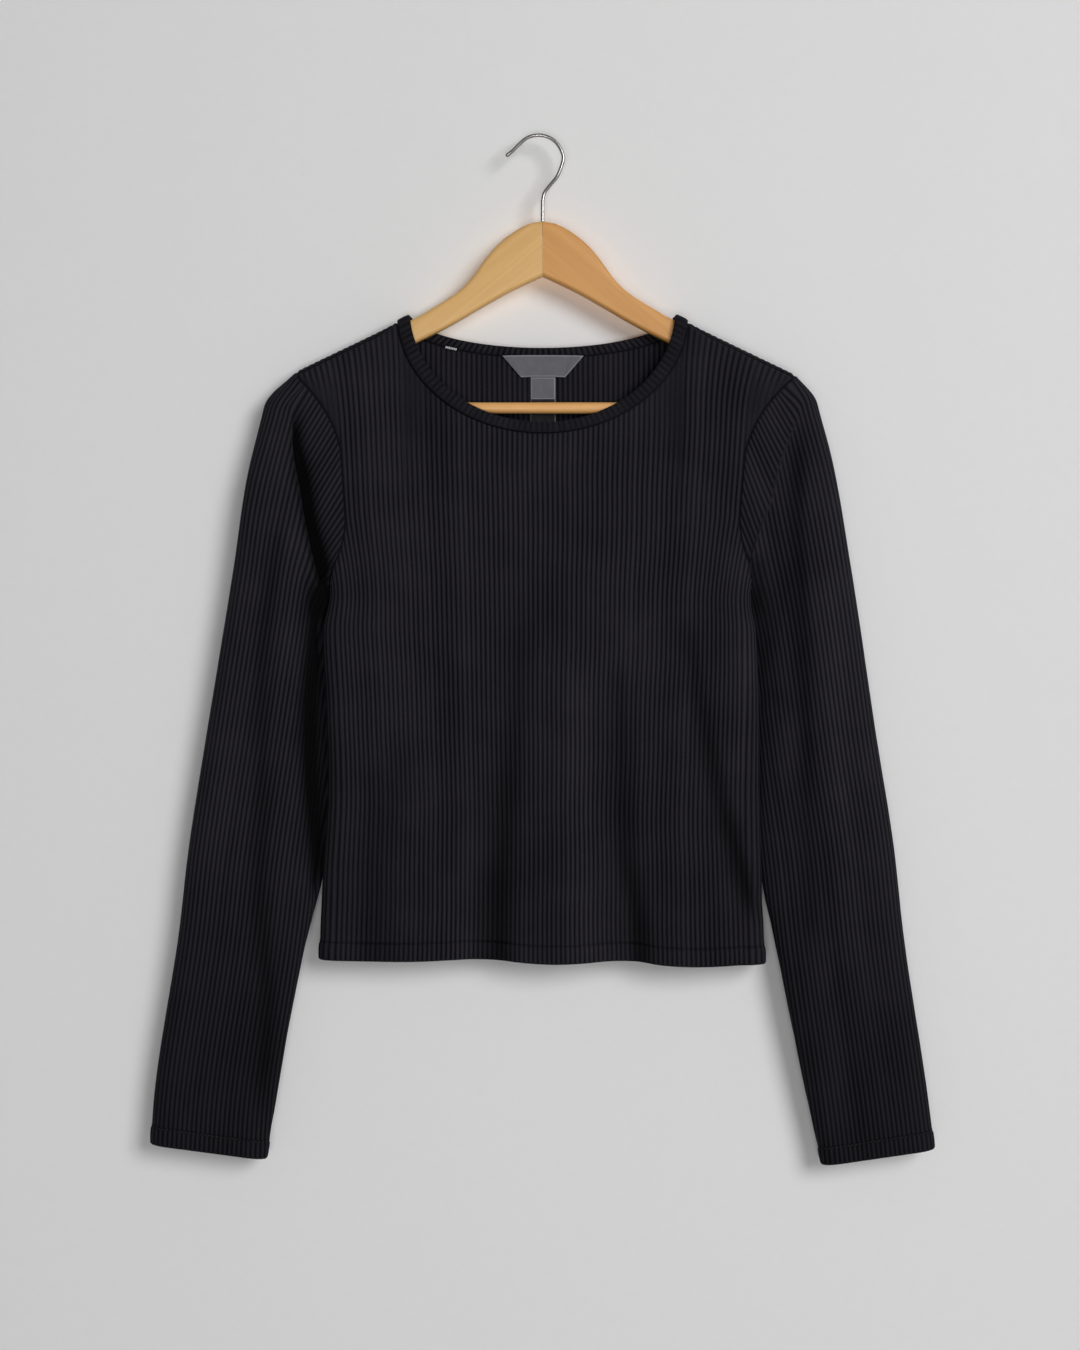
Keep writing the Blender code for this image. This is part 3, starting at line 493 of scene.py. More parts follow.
def crease_relief(points, key):
    """The height that the listed creases of one face add, by the place seen from the front."""
    total = np.zeros(points.shape[:-1])
    for path, depths, left_widths, right_widths in CREASES.get(key, ()):
        line = smooth_line(path, CREASE_STEPS)
        along = along_path(line) / along_path(line)[-1]
        best = np.full(total.shape, np.inf)
        offset = np.zeros(total.shape)
        place = np.zeros(total.shape)
        xz = points[..., [0, 2]]
        for k in range(len(line) - 1):
            step = line[k + 1] - line[k]
            share = np.clip(((xz - line[k]) @ step) / (step @ step), 0.0, 1.0)
            gap = xz - (line[k] + share[..., None] * step)
            far = np.hypot(gap[..., 0], gap[..., 1])
            closer = far < best
            # the paths run downwards, so the left of a path is where the cross product is negative
            turn = np.where(step[0] * gap[..., 1] - step[1] * gap[..., 0] > 0, 1.0, -1.0)
            best = np.where(closer, far, best)
            offset = np.where(closer, far * turn, offset)
            place = np.where(closer, along[k] + share * (along[k + 1] - along[k]), place)
        width = np.where(offset < 0, between(left_widths, place), between(right_widths, place))
        fade = smooth_step(0.0, CREASE_STARTS, place) * (1 - smooth_step(CREASE_ENDS, 1.0, place))
        total += between(depths, place) * fade * bell(offset, width)
    return total


def new_object(name, data):
    thing = bpy.data.objects.new(name, data)
    bpy.context.scene.collection.objects.link(thing)
    return thing


def new_piece(name, mesh, finish, replaced, sharp):
    """A smooth mesh as a piece that rides on the one body and stands for its solids."""
    mesh.shade_smooth()
    mesh.set_sharp_from_angle(angle=math.radians(sharp))
    mesh.materials.append(finish)
    thing = new_object(name, mesh)
    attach(thing, ROOT)
    if replaced:
        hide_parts(*replaced)
    return thing


def mesh_object(name, points, faces, finish, replaced=(), sharp=60):
    """A piece made of points in millimetres, with edges kept sharp from that many degrees."""
    mesh = bpy.data.meshes.new(name)
    mesh.from_pydata((np.asarray(points) * MM).tolist(), [], faces)
    mesh.validate()
    form = bmesh.new()
    form.from_mesh(mesh)
    bmesh.ops.recalc_face_normals(form, faces=form.faces)
    form.to_mesh(mesh)
    form.free()
    return new_piece(name, mesh, finish, replaced, sharp)


def keep_values(thing, name, values):
    """Keep a number for each point on the mesh, for its finish to read."""
    thing.data.attributes.new(name, "FLOAT", "POINT").data.foreach_set("value", values)


# ---------------------------------------------------------------- the body's surface, as the solids have it


def shoulder_z(distance):
    bump = NECK_BUMP * bell(distance - NECK_BUMP_AT, NECK_BUMP_REACH)
    return NECK_POINT_Z - SHOULDER_SLOPE * (distance - NECK_SEAM["half"]) + bump


def hem_z(x):
    return HEM_Z + HEM_TILT * x


def climb_share(z):
    return np.maximum(z - ARMHOLE_WAIST_Z, 0.0) / (SHOULDER_POINT_Z - ARMHOLE_WAIST_Z)


def armhole_reach(side, z):
    """Distance from the centre line of the armhole's seam, above its waist."""
    reach = np.where(side < 0, SHOULDER_REACH[-1], SHOULDER_REACH[1])
    return ARMHOLE_WAIST + (reach - ARMHOLE_WAIST) * climb_share(z) ** 3


def column_place(s, z):
    """Distance from the centre line of the rib at share s of the panel, and how far round its side it is."""
    inner = np.abs(s) / INNER
    even = table_curve(z, RIB_REACH, 1) * inner
    outer = RIBS_AT_SHOULDER / RIBS_BETWEEN_ARMHOLES
    reach = np.where(s < 0, SHOULDER_REACH[-1], SHOULDER_REACH[1])
    fan = (reach - RIB_REACH[-1][1] * outer) * climb_share(z) ** SHOULDER_FAN_CLIMB
    upper = even + fan * (inner / outer) ** SHOULDER_FAN_POWER
    width = np.where(s < 0, table_curve(z, BODY_WIDTHS, 1), table_curve(z, BODY_WIDTHS, 2))
    flat = width - SIDE_ROUND
    excess = flat + ARC_SHARE * SIDE_ROUND - table_curve(z, RIB_REACH, 1) / INNER
    along = even + excess * (inner * INNER) ** SIDE_SQUEEZE_POWER
    angle = np.maximum(along - flat, 0.0) / (ARC_SHARE * SIDE_ROUND) * math.pi / 2
    lower = np.where(along <= flat, along, flat + SIDE_ROUND * np.sin(angle))
    above = z > ARMHOLE_WAIST_Z
    return np.where(above, upper, lower), np.where(above, 0.0, angle)


def face_depth(x, z, face):
    total = FACE_DEPTH + DEPTH_GROWTH * np.maximum(NECK_POINT_Z - z, 0.0)
    for x_hem, x_top, half, depth, top in FOLDS[face]:
        grown = smooth_step(top, HEM_Z, z)
        middle = x_top + (x_hem - x_top) * grown
        total = total + depth * grown * bell(x - middle, half)
    return total


def drape(distance, side, h, face, turn=0.0):
    """Points of the cloth. h is the height, measured along the cloth where it folds over the arm."""
    x = CENTRE_X + side * distance
    fold_z = shoulder_z(distance) - FOLD_RADIUS
    below = h <= fold_z
    hanging = SEAM_GAP + (face_depth(x, h, face) - SEAM_GAP) * np.cos(turn)
    angle = np.where(below, 0.0, (h - fold_z) / FOLD_RADIUS)
    folded = face_depth(x, fold_z, face) * np.cos(angle)
    z = np.where(below, h, fold_z + FOLD_RADIUS * np.sin(angle))
    return np.stack((x, face * np.where(below, hanging, folded), z), axis=-1)


def body_point(s, h, face):
    """Points at shares s of the panel's ribs (-1 to 1) and at heights h along the cloth."""
    side = np.where(s < 0, -1.0, 1.0)
    z = h
    for _ in range(PLACE_ROUNDS):
        distance, turn = column_place(s, z)
        z = (z + drape(distance, side, h, face, turn)[..., 2]) / 2
    return drape(distance, side, h, face, turn)


def unit(vectors):
    return vectors / np.maximum(np.linalg.norm(vectors, axis=-1, keepdims=True), LEAST_LENGTH)


def body_normal(s, h, face):
    across = body_point(s + PROBE_S, h, face) - body_point(s - PROBE_S, h, face)
    up = body_point(s, h + PROBE_H, face) - body_point(s, h - PROBE_H, face)
    return unit(np.cross(across, up) * -face)


def seam_angle(distance, face):
    near_neck = 1 - smooth_step(NECK_SEAM["half"], NECK_SEAM["half"] + SEAM_RISE, distance)
    angle = SEAM_ANGLE + (SEAM_ANGLE_AT_NECK - SEAM_ANGLE) * near_neck
    return angle if face < 0 else math.pi - angle - SEAM_GAP / FOLD_RADIUS


def fold_h(distance, angle):
    return shoulder_z(distance) - FOLD_RADIUS * (1 - angle)


def neck_h(distance, face, line):
    crest = fold_h(line["half"], math.pi / 2)
    return crest - (crest - line[face]) * np.sqrt(np.maximum(1 - (distance / line["half"]) ** 2, 0.0))


def search(low, high, rises):
    """The height between low and high up to which rises(height) holds."""
    for _ in range(HALVINGS):
        middle = (low + high) / 2
        higher = rises(middle)
        low, high = np.where(higher, middle, low), np.where(higher, high, middle)
    return low


def column_end(s, face):
    """Height along a rib where it meets the shoulder's seam or the neck's."""

    def before_end(h):
        distance = np.abs(body_point(s, h, face)[..., 0] - CENTRE_X)
        end = fold_h(distance, seam_angle(distance, face))
        over_neck = distance < NECK_SEAM["half"]
        return h < np.where(over_neck, np.minimum(end, neck_h(distance, face, NECK_SEAM)), end)

    return search(np.full(s.shape, ARMHOLE_WAIST_Z), np.full(s.shape, SEARCH_TOP_Z), before_end)


def upper_bottom(s, face):
    """Where a rib starts above the armhole's waist: there, or on the armhole for the ribs beyond it."""

    def outside(h):
        point = body_point(s, h, face)
        return np.abs(point[..., 0] - CENTRE_X) > armhole_reach(s, point[..., 2])

    low = search(np.full(s.shape, ARMHOLE_WAIST_Z), np.full(s.shape, SHOULDER_POINT_Z), outside)
    return np.where(np.abs(s) <= INNER + SLIGHT, ARMHOLE_WAIST_Z, low)


def lower_top(s):
    """Where a rib leaves the lower part of a panel: at the armhole's waist, or on the armhole below it."""
    beyond = np.maximum(np.abs(s) - INNER, 0.0) / (1 - INNER)
    return ARMHOLE_WAIST_Z - (ARMHOLE_WAIST_Z - UNDERARM_Z) * beyond**ARMHOLE_SHAPE


# ---------------------------------------------------------------- ribs


def rib_profile(phase):
    """A rib's round back: 0 in the groove, 1 on its crest."""
    return np.sin(math.pi * phase) ** RIB_ROUND


def turned_up(distance):
    """How far an edge that is turned up and stitched stands out, by the distance from the edge."""
    layer = TURN_UP * (1 - smooth_step(HEM_DEPTH, HEM_DEPTH + HEM_STEP, distance))
    edge = -EDGE_ROUND * (1 - smooth_step(0.0, EDGE_REACH, distance))
    full = HEM_SWELL * np.sin(math.pi * np.clip(distance / HEM_DEPTH, 0, 1))
    return layer + edge + full - STITCH_GROOVE * bell(distance - HEM_DEPTH, STITCH_GROOVE_WIDTH)


def hem_painted_shade(distance):
    """Painted shade: the thin dark line along the groove where a turned-up edge is stitched."""
    return HEM_PAINTED_SHADE * bell(distance - HEM_DEPTH - HEM_PAINTED_SHADE_ABOVE, HEM_PAINTED_SHADE_WIDTH)


def inside_of(phase, edge_distance):
    """How much thicker than the plain wall the cloth is on its inside."""
    double = 1 - smooth_step(*INSIDE_HEM_STEP, edge_distance - HEM_DEPTH)
    edge = 1 - smooth_step(0.0, EDGE_REACH, edge_distance)
    ribs = INSIDE_RIB * (rib_profile((phase + 0.5) % 1.0) - 1)
    return ribs + INSIDE_HEM * double - INSIDE_EDGE * edge


def rib_tones(count, seed):
    """A tone for each rib: mostly like its neighbour's, so that ribs read in groups."""
    random = np.random.default_rng(seed)
    own = random.normal(0.0, 1.0, count + 2 * TONE_MARGIN)
    drawn = random.normal(0.0, 1.0, count + 2 * TONE_MARGIN)
    grouped = np.convolve(drawn, np.ones(TONE_GROUP) / TONE_GROUP, mode="same")
    return (OWN_TONE * own + GROUP_TONE * grouped)[TONE_MARGIN : TONE_MARGIN + count]


def uneven(u, v, seed):
    """A slow, seeded unevenness between about -1 and 1, over rib number and millimetres along it."""
    random = np.random.default_rng(seed)
    total = np.zeros(np.broadcast(u, v).shape)
    for wave, weight in UNEVEN_WAVES:
        for _ in range(UNEVEN_DRAWS):
            shift, lean = random.uniform(0, 2 * math.pi), random.uniform(-UNEVEN_LEAN, UNEVEN_LEAN)
            total = total + weight * np.sin(2 * math.pi * v / wave + shift + lean * u) / UNEVEN_SUM
    return total


class Cloth:
    """A grid of points on the cloth's groove level that becomes a ribbed wall.

    u counts ribs across and v millimetres along; both are kept on the mesh for the knit's stitches.
    Where the grid has no point, its present mask is false. A split is a row that repeats the one
    below it in the shared columns and is free of it in the others. A turn is a column where u starts
    again from the values of the back, round the end of a closed cloth.
    """

    def __init__(self, name, points, normals, u, v, seed, stride, present=None, split=None, turn=None):
        self.name, self.points, self.normals, self.u, self.v = name, points, normals, u, v
        self.seed, self.stride = seed, stride
        self.present = np.ones(u.shape, bool) if present is None else present
        self.split_row, self.shared = split or (None, None)
        self.turn, self.turn_u = turn or (None, None)
        self.closed = turn is not None
        self.ribbed = np.ones(u.shape)
        self.painted_shade = np.zeros(u.shape)

    def quads(self, stride):
        """Row and column pairs of the cells between columns that are stride apart."""
        rows, columns = self.present.shape
        left = np.arange(0, columns, stride) if self.closed else np.arange(0, columns - 1, stride)
        right = (left + stride) % columns if self.closed else left + stride
        row, place = np.meshgrid(np.arange(rows - 1), np.arange(len(left)), indexing="ij")
        row, a, b = row.ravel(), left[place.ravel()], right[place.ravel()]
        there = (
            self.present[row, a] & self.present[row, b] & self.present[row + 1, a] & self.present[row + 1, b]
        )
        if self.split_row is not None:
            there &= row != self.split_row - 1
        return row[there], a[there], b[there]

    def numbered(self, kept, start):
        """The number of each kept point of the grid, those of the split row that repeat one among them."""
        own = kept.copy()
        if self.split_row is not None:
            own[self.split_row, self.shared] = False
        number = np.full(kept.shape, -1)
        number[own] = start + np.arange(own.sum())
        if self.split_row is not None:
            number[self.split_row, self.shared] = number[self.split_row - 1, self.shared]
        return number, own

    def build(self, finish, replaced):
        outside, outer_own = self.numbered(self.present, 0)
        kept = self.present.copy()
        kept[:, np.arange(kept.shape[1]) % self.stride != 0] = False
        inside, inner_own = self.numbered(kept, outer_own.sum())
        outer = self.points + self.normals * self.raised[..., None]
        inner = self.points - self.normals * (WALL + self.sunk[..., None])
        points = np.concatenate((outer[outer_own], inner[inner_own]))

        row, a, b = self.quads(1)
        corners = (outside[row, a], outside[row, b], outside[row + 1, b], outside[row + 1, a])
        faces = np.stack(corners, 1).tolist()
        past_turn = a == self.turn
        row, a, b = self.quads(self.stride)
        corners = (inside[row, a], inside[row + 1, a], inside[row + 1, b], inside[row, b])
        faces += np.stack(corners, 1).tolist()
        past_turn = np.concatenate((past_turn, a == self.turn))
        faces += self.rim(row, a, b, outside, inside)
        thing = mesh_object(self.name, points, faces, finish, replaced)

        rib = np.floor(self.u).astype(int)
        tones = rib_tones(rib.max() - rib.min() + 1, self.seed)
        tone = tones[rib - rib.min()] + SLOW_TONE * uneven(self.u, self.v, self.seed + 1)
        painted_shade = np.clip(self.painted_shade, PAINTED_LIGHT_LIMIT, 1.0)
        grids = {"course": self.v, "tone": tone, "ribbed": self.ribbed, "painted_shade": painted_shade}
        for name, grid in grids.items():
            # the inside of the cloth gets more painted shade
            deeper = INSIDE_PAINTED_SHADE if name == "painted_shade" else 0.0
            keep_values(thing, name, np.concatenate((grid[outer_own], grid[inner_own] + deeper)))
        self.lay_ribs(thing, np.concatenate((self.u[outer_own], self.u[inner_own])), past_turn)
        return thing

    def lay_ribs(self, thing, values, past_turn):
        """Keep u on the mesh, on the corners of its faces, because it starts again at the turn."""
        mesh = thing.data
        corner_point = np.empty(len(mesh.loops), np.int32)
        mesh.loops.foreach_get("vertex_index", corner_point)
        corners = values[corner_point]
        if self.closed:
            lengths = np.empty(len(mesh.polygons), np.int32)
            mesh.polygons.foreach_get("loop_total", lengths)
            past = np.zeros(len(mesh.polygons), bool)
            past[: len(past_turn)] = past_turn
            rows, columns = self.u.shape
            again = np.full(len(values), np.nan)
            again[np.arange(rows) * columns + self.turn] = self.turn_u
            inner = columns // self.stride
            again[rows * columns + np.arange(rows) * inner + self.turn // self.stride] = self.turn_u
            swapped = np.repeat(past, lengths) & ~np.isnan(again[corner_point])
            corners = np.where(swapped, again[corner_point], corners)
        attribute = mesh.attributes.new("rib", "FLOAT", "CORNER")
        attribute.data.foreach_set("value", corners)

    def rim(self, row, a, b, outside, inside):
        """Faces between the free edges of the inside and those of the outside that face them."""
        columns = self.present.shape[1]
        edges = {}
        for r, p, q in zip(row.tolist(), a.tolist(), b.tolist()):
            ring = ((r, p), (r, q), (r + 1, q), (r + 1, p))
            for start, end in zip(ring, ring[1:] + ring[:1]):
                first, last = inside[start], inside[end]
                if edges.pop((last, first), None) is None:
                    edges[first, last] = (start, end)
        faces = []
        for start, end in edges.values():
            chain = [outside[start]]
            if start[0] == end[0]:
                step = 1 if (end[1] - start[1]) % columns == self.stride else -1
                chain += [outside[start[0], (start[1] + step * k) % columns] for k in range(1, self.stride)]
            chain.append(outside[end])
            faces.append([int(k) for k in chain[::-1] + [inside[start], inside[end]]])
        return faces


# ---------------------------------------------------------------- front and back


class Panel:
    """The fine grid of the front (face -1) or the back (face 1)."""

    def __init__(self, face):
        self.face = face
        self.columns = RIBS * FINE
        column = np.arange(self.columns + 1)
        self.edge = (RIBS - RIBS_BETWEEN_ARMHOLES) * FINE // 2
        s = (2 * column - self.columns) / self.columns
        x = body_point(s, np.full(s.shape, HEM_Z), face)[..., 0]
        edge_z = hem_z(x)
        if face < 0:
            waves = np.array(HEM_WAVES)
            edge_z = edge_z + hermite(x, waves[:, 0], waves[:, 1])
        top = lower_top(s)
        share = 1 - (1 - np.linspace(0.0, 1.0, LOWER_COUNT + 1)[1:]) ** LOWER_POWER
        start = edge_z + HEM_STOPS[-1]
        lower = np.concatenate(
            (edge_z + np.array(HEM_STOPS)[:, None], start + (top - start) * share[:, None])
        )
        share = 1 - (1 - np.linspace(0.0, 1.0, UPPER_COUNT + 1)) ** UPPER_POWER
        reach = RIBS_AT_SHOULDER / RIBS
        self.corner = (RIBS - RIBS_AT_SHOULDER) * FINE // 2
        above = np.clip(s, -reach, reach)
        ends = column_end(above, face)
        bottom = np.minimum(upper_bottom(above, face), ends - SHORTEST_RIB)
        upper = bottom + (ends - bottom) * share[:, None]
        self.h = np.concatenate((lower, upper))
        self.split = len(lower)
        self.shared = np.abs(s) <= INNER + SLIGHT
        self.present = np.ones(self.h.shape, bool)
        self.present[self.split :, np.abs(s) > reach + SLIGHT] = False
        self.h[~self.present] = ARMHOLE_WAIST_Z

        grid_s = np.broadcast_to(s, self.h.shape)
        free = 1 - np.abs(grid_s) ** WANDER_POWER
        rows = np.arange(len(self.h))[:, None]
        to_end = np.where((rows < self.split) & (np.abs(s) > INNER), top, ends) - self.h
        sway = WANDER_MM * uneven(grid_s * WANDER_SPREAD, self.h, SEEDS["sway"] + face) * free
        sway = sway * smooth_step(0.0, WANDER_FADE, to_end)
        self.s = grid_s + sway / ARMHOLE_WAIST
        self.points = body_point(self.s, self.h, face)
        self.normals = body_normal(self.s, self.h, face)
        self.u = np.broadcast_to(column / FINE, self.h.shape)
        self.hem_distance = self.h - edge_z

    def armhole(self, side):
        """The edge from the shoulder down to the underarm: points and normals side by side."""
        corner = self.corner if side < 0 else self.columns - self.corner
        waist = self.edge if side < 0 else self.columns - self.edge
        rows = np.arange(len(self.h) - 1, self.split, -1)
        inwards = np.arange(corner, waist - side, -side)
        outwards = np.arange(waist + side, waist + side * (self.edge + 1), side)
        both = np.concatenate((self.points, self.normals), axis=2)
        return np.concatenate((both[rows, corner], both[self.split, inwards], both[self.split - 1, outwards]))

    def seams(self):
        """Close points along the armholes, the shoulders and the neck."""
        top = self.points[-1, self.corner : self.columns - self.corner + 1]
        paths = [top, self.armhole(-1)[:, :3], self.armhole(1)[:, :3]]
        return np.concatenate(
            [spaced(path, np.arange(0.0, along_path(path)[-1], SEAM_STEP)) for path in paths]
        )

    def cloth(self, name):
        near = path_distance(self.points, self.seams())
        relief = crease_relief(self.points, ("body", self.face)) * (np.abs(self.s) < 1)
        cloth = Cloth(
            name, self.points + self.normals * relief[..., None], self.normals, self.u, self.h,
            SEEDS["panel"] + self.face, INSIDE_STRIDE, self.present, (self.split, self.shared),
        )
        phase = self.u % 1.0
        pitch = np.linalg.norm(np.gradient(self.points, axis=1), axis=2) * FINE
        above = smooth_step(ARMHOLE_WAIST_Z, ARMHOLE_WAIST_Z + WIDE_RIB_RISE, self.h)
        flat = 1 - WIDE_RIB_FADE * smooth_step(*WIDE_RIB, pitch) * above
        own = uneven(self.u, self.h, SEEDS["panel_ribs"] + self.face)
        height = RIB_HEIGHT * (1 + RIB_UNEVEN * own) * flat
        side = (1 - np.abs(self.s)) * (ARMHOLE_WAIST / INNER)
        cloth.raised = (
            height * rib_profile(phase) * smooth_step(0.0, RIBS_FROM_SEAM, near)
            - SEAM_DIP * bell(near, SEAM_DIP_WIDTH) - SIDE_DIP * bell(side, SEAM_DIP_WIDTH)
            + turned_up(self.hem_distance)
        )
        cloth.sunk = inside_of(phase, self.hem_distance)
        cloth.ribbed = flat * smooth_step(0.0, LOOK_FROM_SEAM, near)
        # painted shade in the seams' grooves, in the creases' troughs (and painted light on their ridges),
        # along the hem's stitched groove and towards the hem
        cloth.painted_shade = (
            SEAM_PAINTED_SHADE * bell(near, SEAM_PAINTED_SHADE_WIDTH) - relief / PAINTED_SHADE_DEPTH
            + hem_painted_shade(self.hem_distance) + LOW_PAINTED_SHADE * (1 - smooth_step(*LOW_PAINTED_SHADE_Z, self.h))
        )
        return cloth


# ---------------------------------------------------------------- sleeves


def flat_oval(share, width, depth, outer_round, inner_round):
    """Half of a flattened tube: how far across it and how deep, at shares of the way round."""
    outer_arc, inner_arc = ARC_SHARE * outer_round, ARC_SHARE * inner_round
    flat = width - outer_round - inner_round
    along = share * (outer_arc + flat + inner_arc)
    first = np.minimum(along / outer_arc, 1.0) * math.pi / 2
    last = np.clip((along - outer_arc - flat) / inner_arc, 0.0, 1.0) * math.pi / 2
    middle = outer_round + along - outer_arc
    across = np.where(along <= outer_arc + flat, middle, width - inner_round * (1 - np.sin(last)))
    across = np.where(along < outer_arc, outer_round * (1 - np.cos(first)), across)
    deep = np.where(along < outer_arc, depth * np.sin(first), depth * np.cos(last))
    return across, deep


def ring_points(ring, share, face):
    x_out, z_out, x_in, z_in, depth, outer_round, inner_round, sink, tuck = ring
    width = math.hypot(x_in - x_out, z_in - z_out)
    across, deep = flat_oval(share, width, depth, outer_round, inner_round)
    part = across / width
    deep = deep - sink * smooth_step(CREASE_FROM, CREASE_FULL, part) * deep / depth
    y = face * deep + tuck * smooth_step(TUCK_FROM, 1.0, part)
    return np.stack((between((x_out, x_in), part), y, between((z_out, z_in), part)), axis=-1)


def sleeve_stops(length, fine_to):
    """Where along a sleeve, from the cap's turn down, its rows of points lie: closest where ribs slant."""
    stops = list(FOLD_STOPS)
    while stops[-1] < length - HEM_STOPS[-1] - LAST_GAP:
        grown = smooth_step(fine_to, fine_to + ROW_BLEND, stops[-1])
        stops.append(stops[-1] + ROW_GAP + ROW_GROWTH * grown)
    return np.array(stops[:-1] + [length - stop for stop in HEM_STOPS[::-1]])


def rounded(ring_front, ring_back):
    """One closed ring from its front half and its back half, which share both ends."""
    return np.concatenate((ring_front, ring_back[-2:0:-1]))


def ribs_across(points, half):
    """Rib numbers over rows of closed rings: distance from the outer edge, square to the ribs.

    The ribs run parallel to the outer edge. The front counts up from it and the back counts down.
    """
    edge = points[:, 0]
    slope = np.gradient(edge[:, 0]) / np.gradient(edge[:, 2])
    order = np.argsort(edge[:, 2])
    counts = []
    for columns in (np.arange(half + 1), -np.arange(half + 1)):
        run = points[:, columns]
        step = np.diff(run, axis=1)
        middle = (run[:, 1:, 2] + run[:, :-1, 2]) / 2
        lean = np.interp(middle, edge[order, 2], slope[order])
        along = (step[..., 0] * lean + step[..., 2]) / (1 + lean**2)
        rib_line = np.stack((lean, np.zeros(lean.shape), np.ones(lean.shape)), axis=-1)
        square = step - along[..., None] * rib_line
        count = np.cumsum(np.linalg.norm(square, axis=2), axis=1) / RIB_PITCH
        counts.append(np.concatenate((np.zeros((len(points), 1)), count), axis=1))
    return rounded(counts[0].T, -counts[1].T).T, -counts[1][:, -1]


def cap_ribs(seam, turn, at_turn, rib, first):
    """Rib numbers over the columns of a half cap: those at its turn up to the first that is cut there."""
    lie = unit(turn - seam)
    between = unit(lie[1:] + lie[:-1])
    step = np.diff((seam + turn) / 2, axis=0)
    square = step - (step * between).sum(1, keepdims=True) * between
    grown = np.linalg.norm(square, axis=1) / CAP_PITCH
    grown = np.where(rib[1:] <= first, np.diff(at_turn), grown)
    return np.concatenate(([0.0], np.cumsum(grown)))


def cap_starts(side, rib, start_z, path):
    """Where along the armhole the columns of the cap start, as shares of its front path."""
    full = CAP_TURNS[side][1][0]
    run = along_path(path[:, :3])
    start = np.interp(-start_z, -path[:, 2], run) / run[-1]
    start = np.maximum.accumulate(start + np.arange(len(rib)) * LEAST_STEP)
    start = np.where(rib < full, start[np.searchsorted(rib, full)] * rib / full, start)
    start[-1] = 1.0
    return start


def turn_line(side, rib, x, z):
    """The closed line along which the cap turns down into the sleeve."""
    edge = np.minimum(rib * RIB_PITCH / (ARC_SHARE * TURN_ROUND), 1.0)
    deep = TURN_DEPTH[side] * np.sin(edge * math.pi / 2)
    deep = deep * np.sqrt(np.clip((rib[-1] - rib) / TURN_END, 0.0, 1.0))
    tuck = TURN_TUCK * smooth_step(TUCK_FROM, 1.0, rib / rib[-1])
    return rounded(*[np.stack((x, face * deep + tuck, z), axis=1) for face in (-1, 1)])


def cap_points(side, seam, turn, leads, whole_rib, part):
    """The cap from the seam to its turn; where there is no fold it bends to where the sleeve leads."""
    chord = turn - seam
    reach = np.linalg.norm(chord, axis=1, keepdims=True)
    bend = 1 - smooth_step(*CAP_BEND, whole_rib - CUT_FROM[side])[:, None]
    end = chord + (unit(leads) * reach - chord) * bend
    t = part[:, None, None]
    return seam + t * (chord + t * (1 - t) * (chord - end))


def sleeve_normals(side, points, v, whole_rib, at_seam):
    """Normals of the closed grid; near the seam they are the body's, except at the inner edge."""
    around = np.roll(points, -1, axis=1) - np.roll(points, 1, axis=1)
    normals = unit(np.cross(around, np.gradient(points, axis=0)) * side)
    near_seam = (1 - smooth_step(0.0, BODY_NORMALS, v))[..., None]
    own = smooth_step(*OWN_NORMALS, whole_rib / whole_rib.max())[None, :, None]
    return unit(normals + (at_seam[None] - normals) * near_seam * (1 - own))


def sleeve_ribs(side, seams, turn, lower, rib, cap_rows):
    """Rib numbers over the grid, and those with which the back starts at the inner edge."""
    half = len(rib) - 1
    free, turn_u = ribs_across(np.concatenate((turn[None], lower)), half)
    caps = []
    for place, columns in enumerate((np.arange(half + 1), -np.arange(half + 1))):
        at_turn = np.abs(free[0, columns])
        at_turn[-1] = (free[0, half], -turn_u[0])[place]
        caps.append(cap_ribs(seams[place][:, :3], turn[columns], at_turn, rib, CUT_FROM[side]))
    cap = rounded(caps[0], -caps[1])
    u = np.concatenate((np.repeat(cap[None], cap_rows, axis=0), free[1:]))
    return u, np.concatenate((np.full(cap_rows, -caps[1][-1]), turn_u[1:]))


def sleeve_folds(side, points, normals, whole_rib, v, from_turn, in_cap):
    """What folds and creases add to the height, the painted shade beside the cap's fold, and how far the
    sleeve hangs over.
    """
    in_front = np.arange(len(whole_rib)) <= len(whole_rib) // 2
    relief, dark, over = np.zeros(v.shape), np.zeros(v.shape), np.zeros(v.shape)
    for face in (-1, 1):
        table = np.array(CAP_FOLDS[side, face])
        drop, lip, ridge = [np.interp(whole_rib, table[:, 0], table[:, k]) for k in (1, 2, 3)]
        fold = np.where(in_cap, -drop * bell(from_turn, DROP_REACH[side]), lip * bell(from_turn, LIP_REACH))
        fold = (fold + ridge * bell(from_turn, RIDGE_REACH)) * smooth_step(0.0, FOLD_FROM_SEAM, v)
        creases = crease_relief(points, ("sleeve", side, face)) * smooth_step(0.0, CREASE_FROM_SEAM, v)
        facing = smooth_step(*FACING, face * normals[..., 1])
        # painted shade beside the fold, growing with its drop
        beside = FOLD_PAINTED_SHADE[side] * drop * bell(from_turn, np.where(in_cap, UNDER_FOLD, OVER_FOLD))
        hangs = np.where(in_cap, 0.0, bell(from_turn, OVERHANG_REACH)) * smooth_step(*OVERHANG_DROP, drop)
        mine = in_front if face < 0 else ~in_front
        relief = relief + np.where(mine, (fold + creases) * facing, 0.0)
        dark = dark + np.where(mine, beside, 0.0)
        over = over + np.where(mine, hangs, 0.0)
    return relief, dark, over


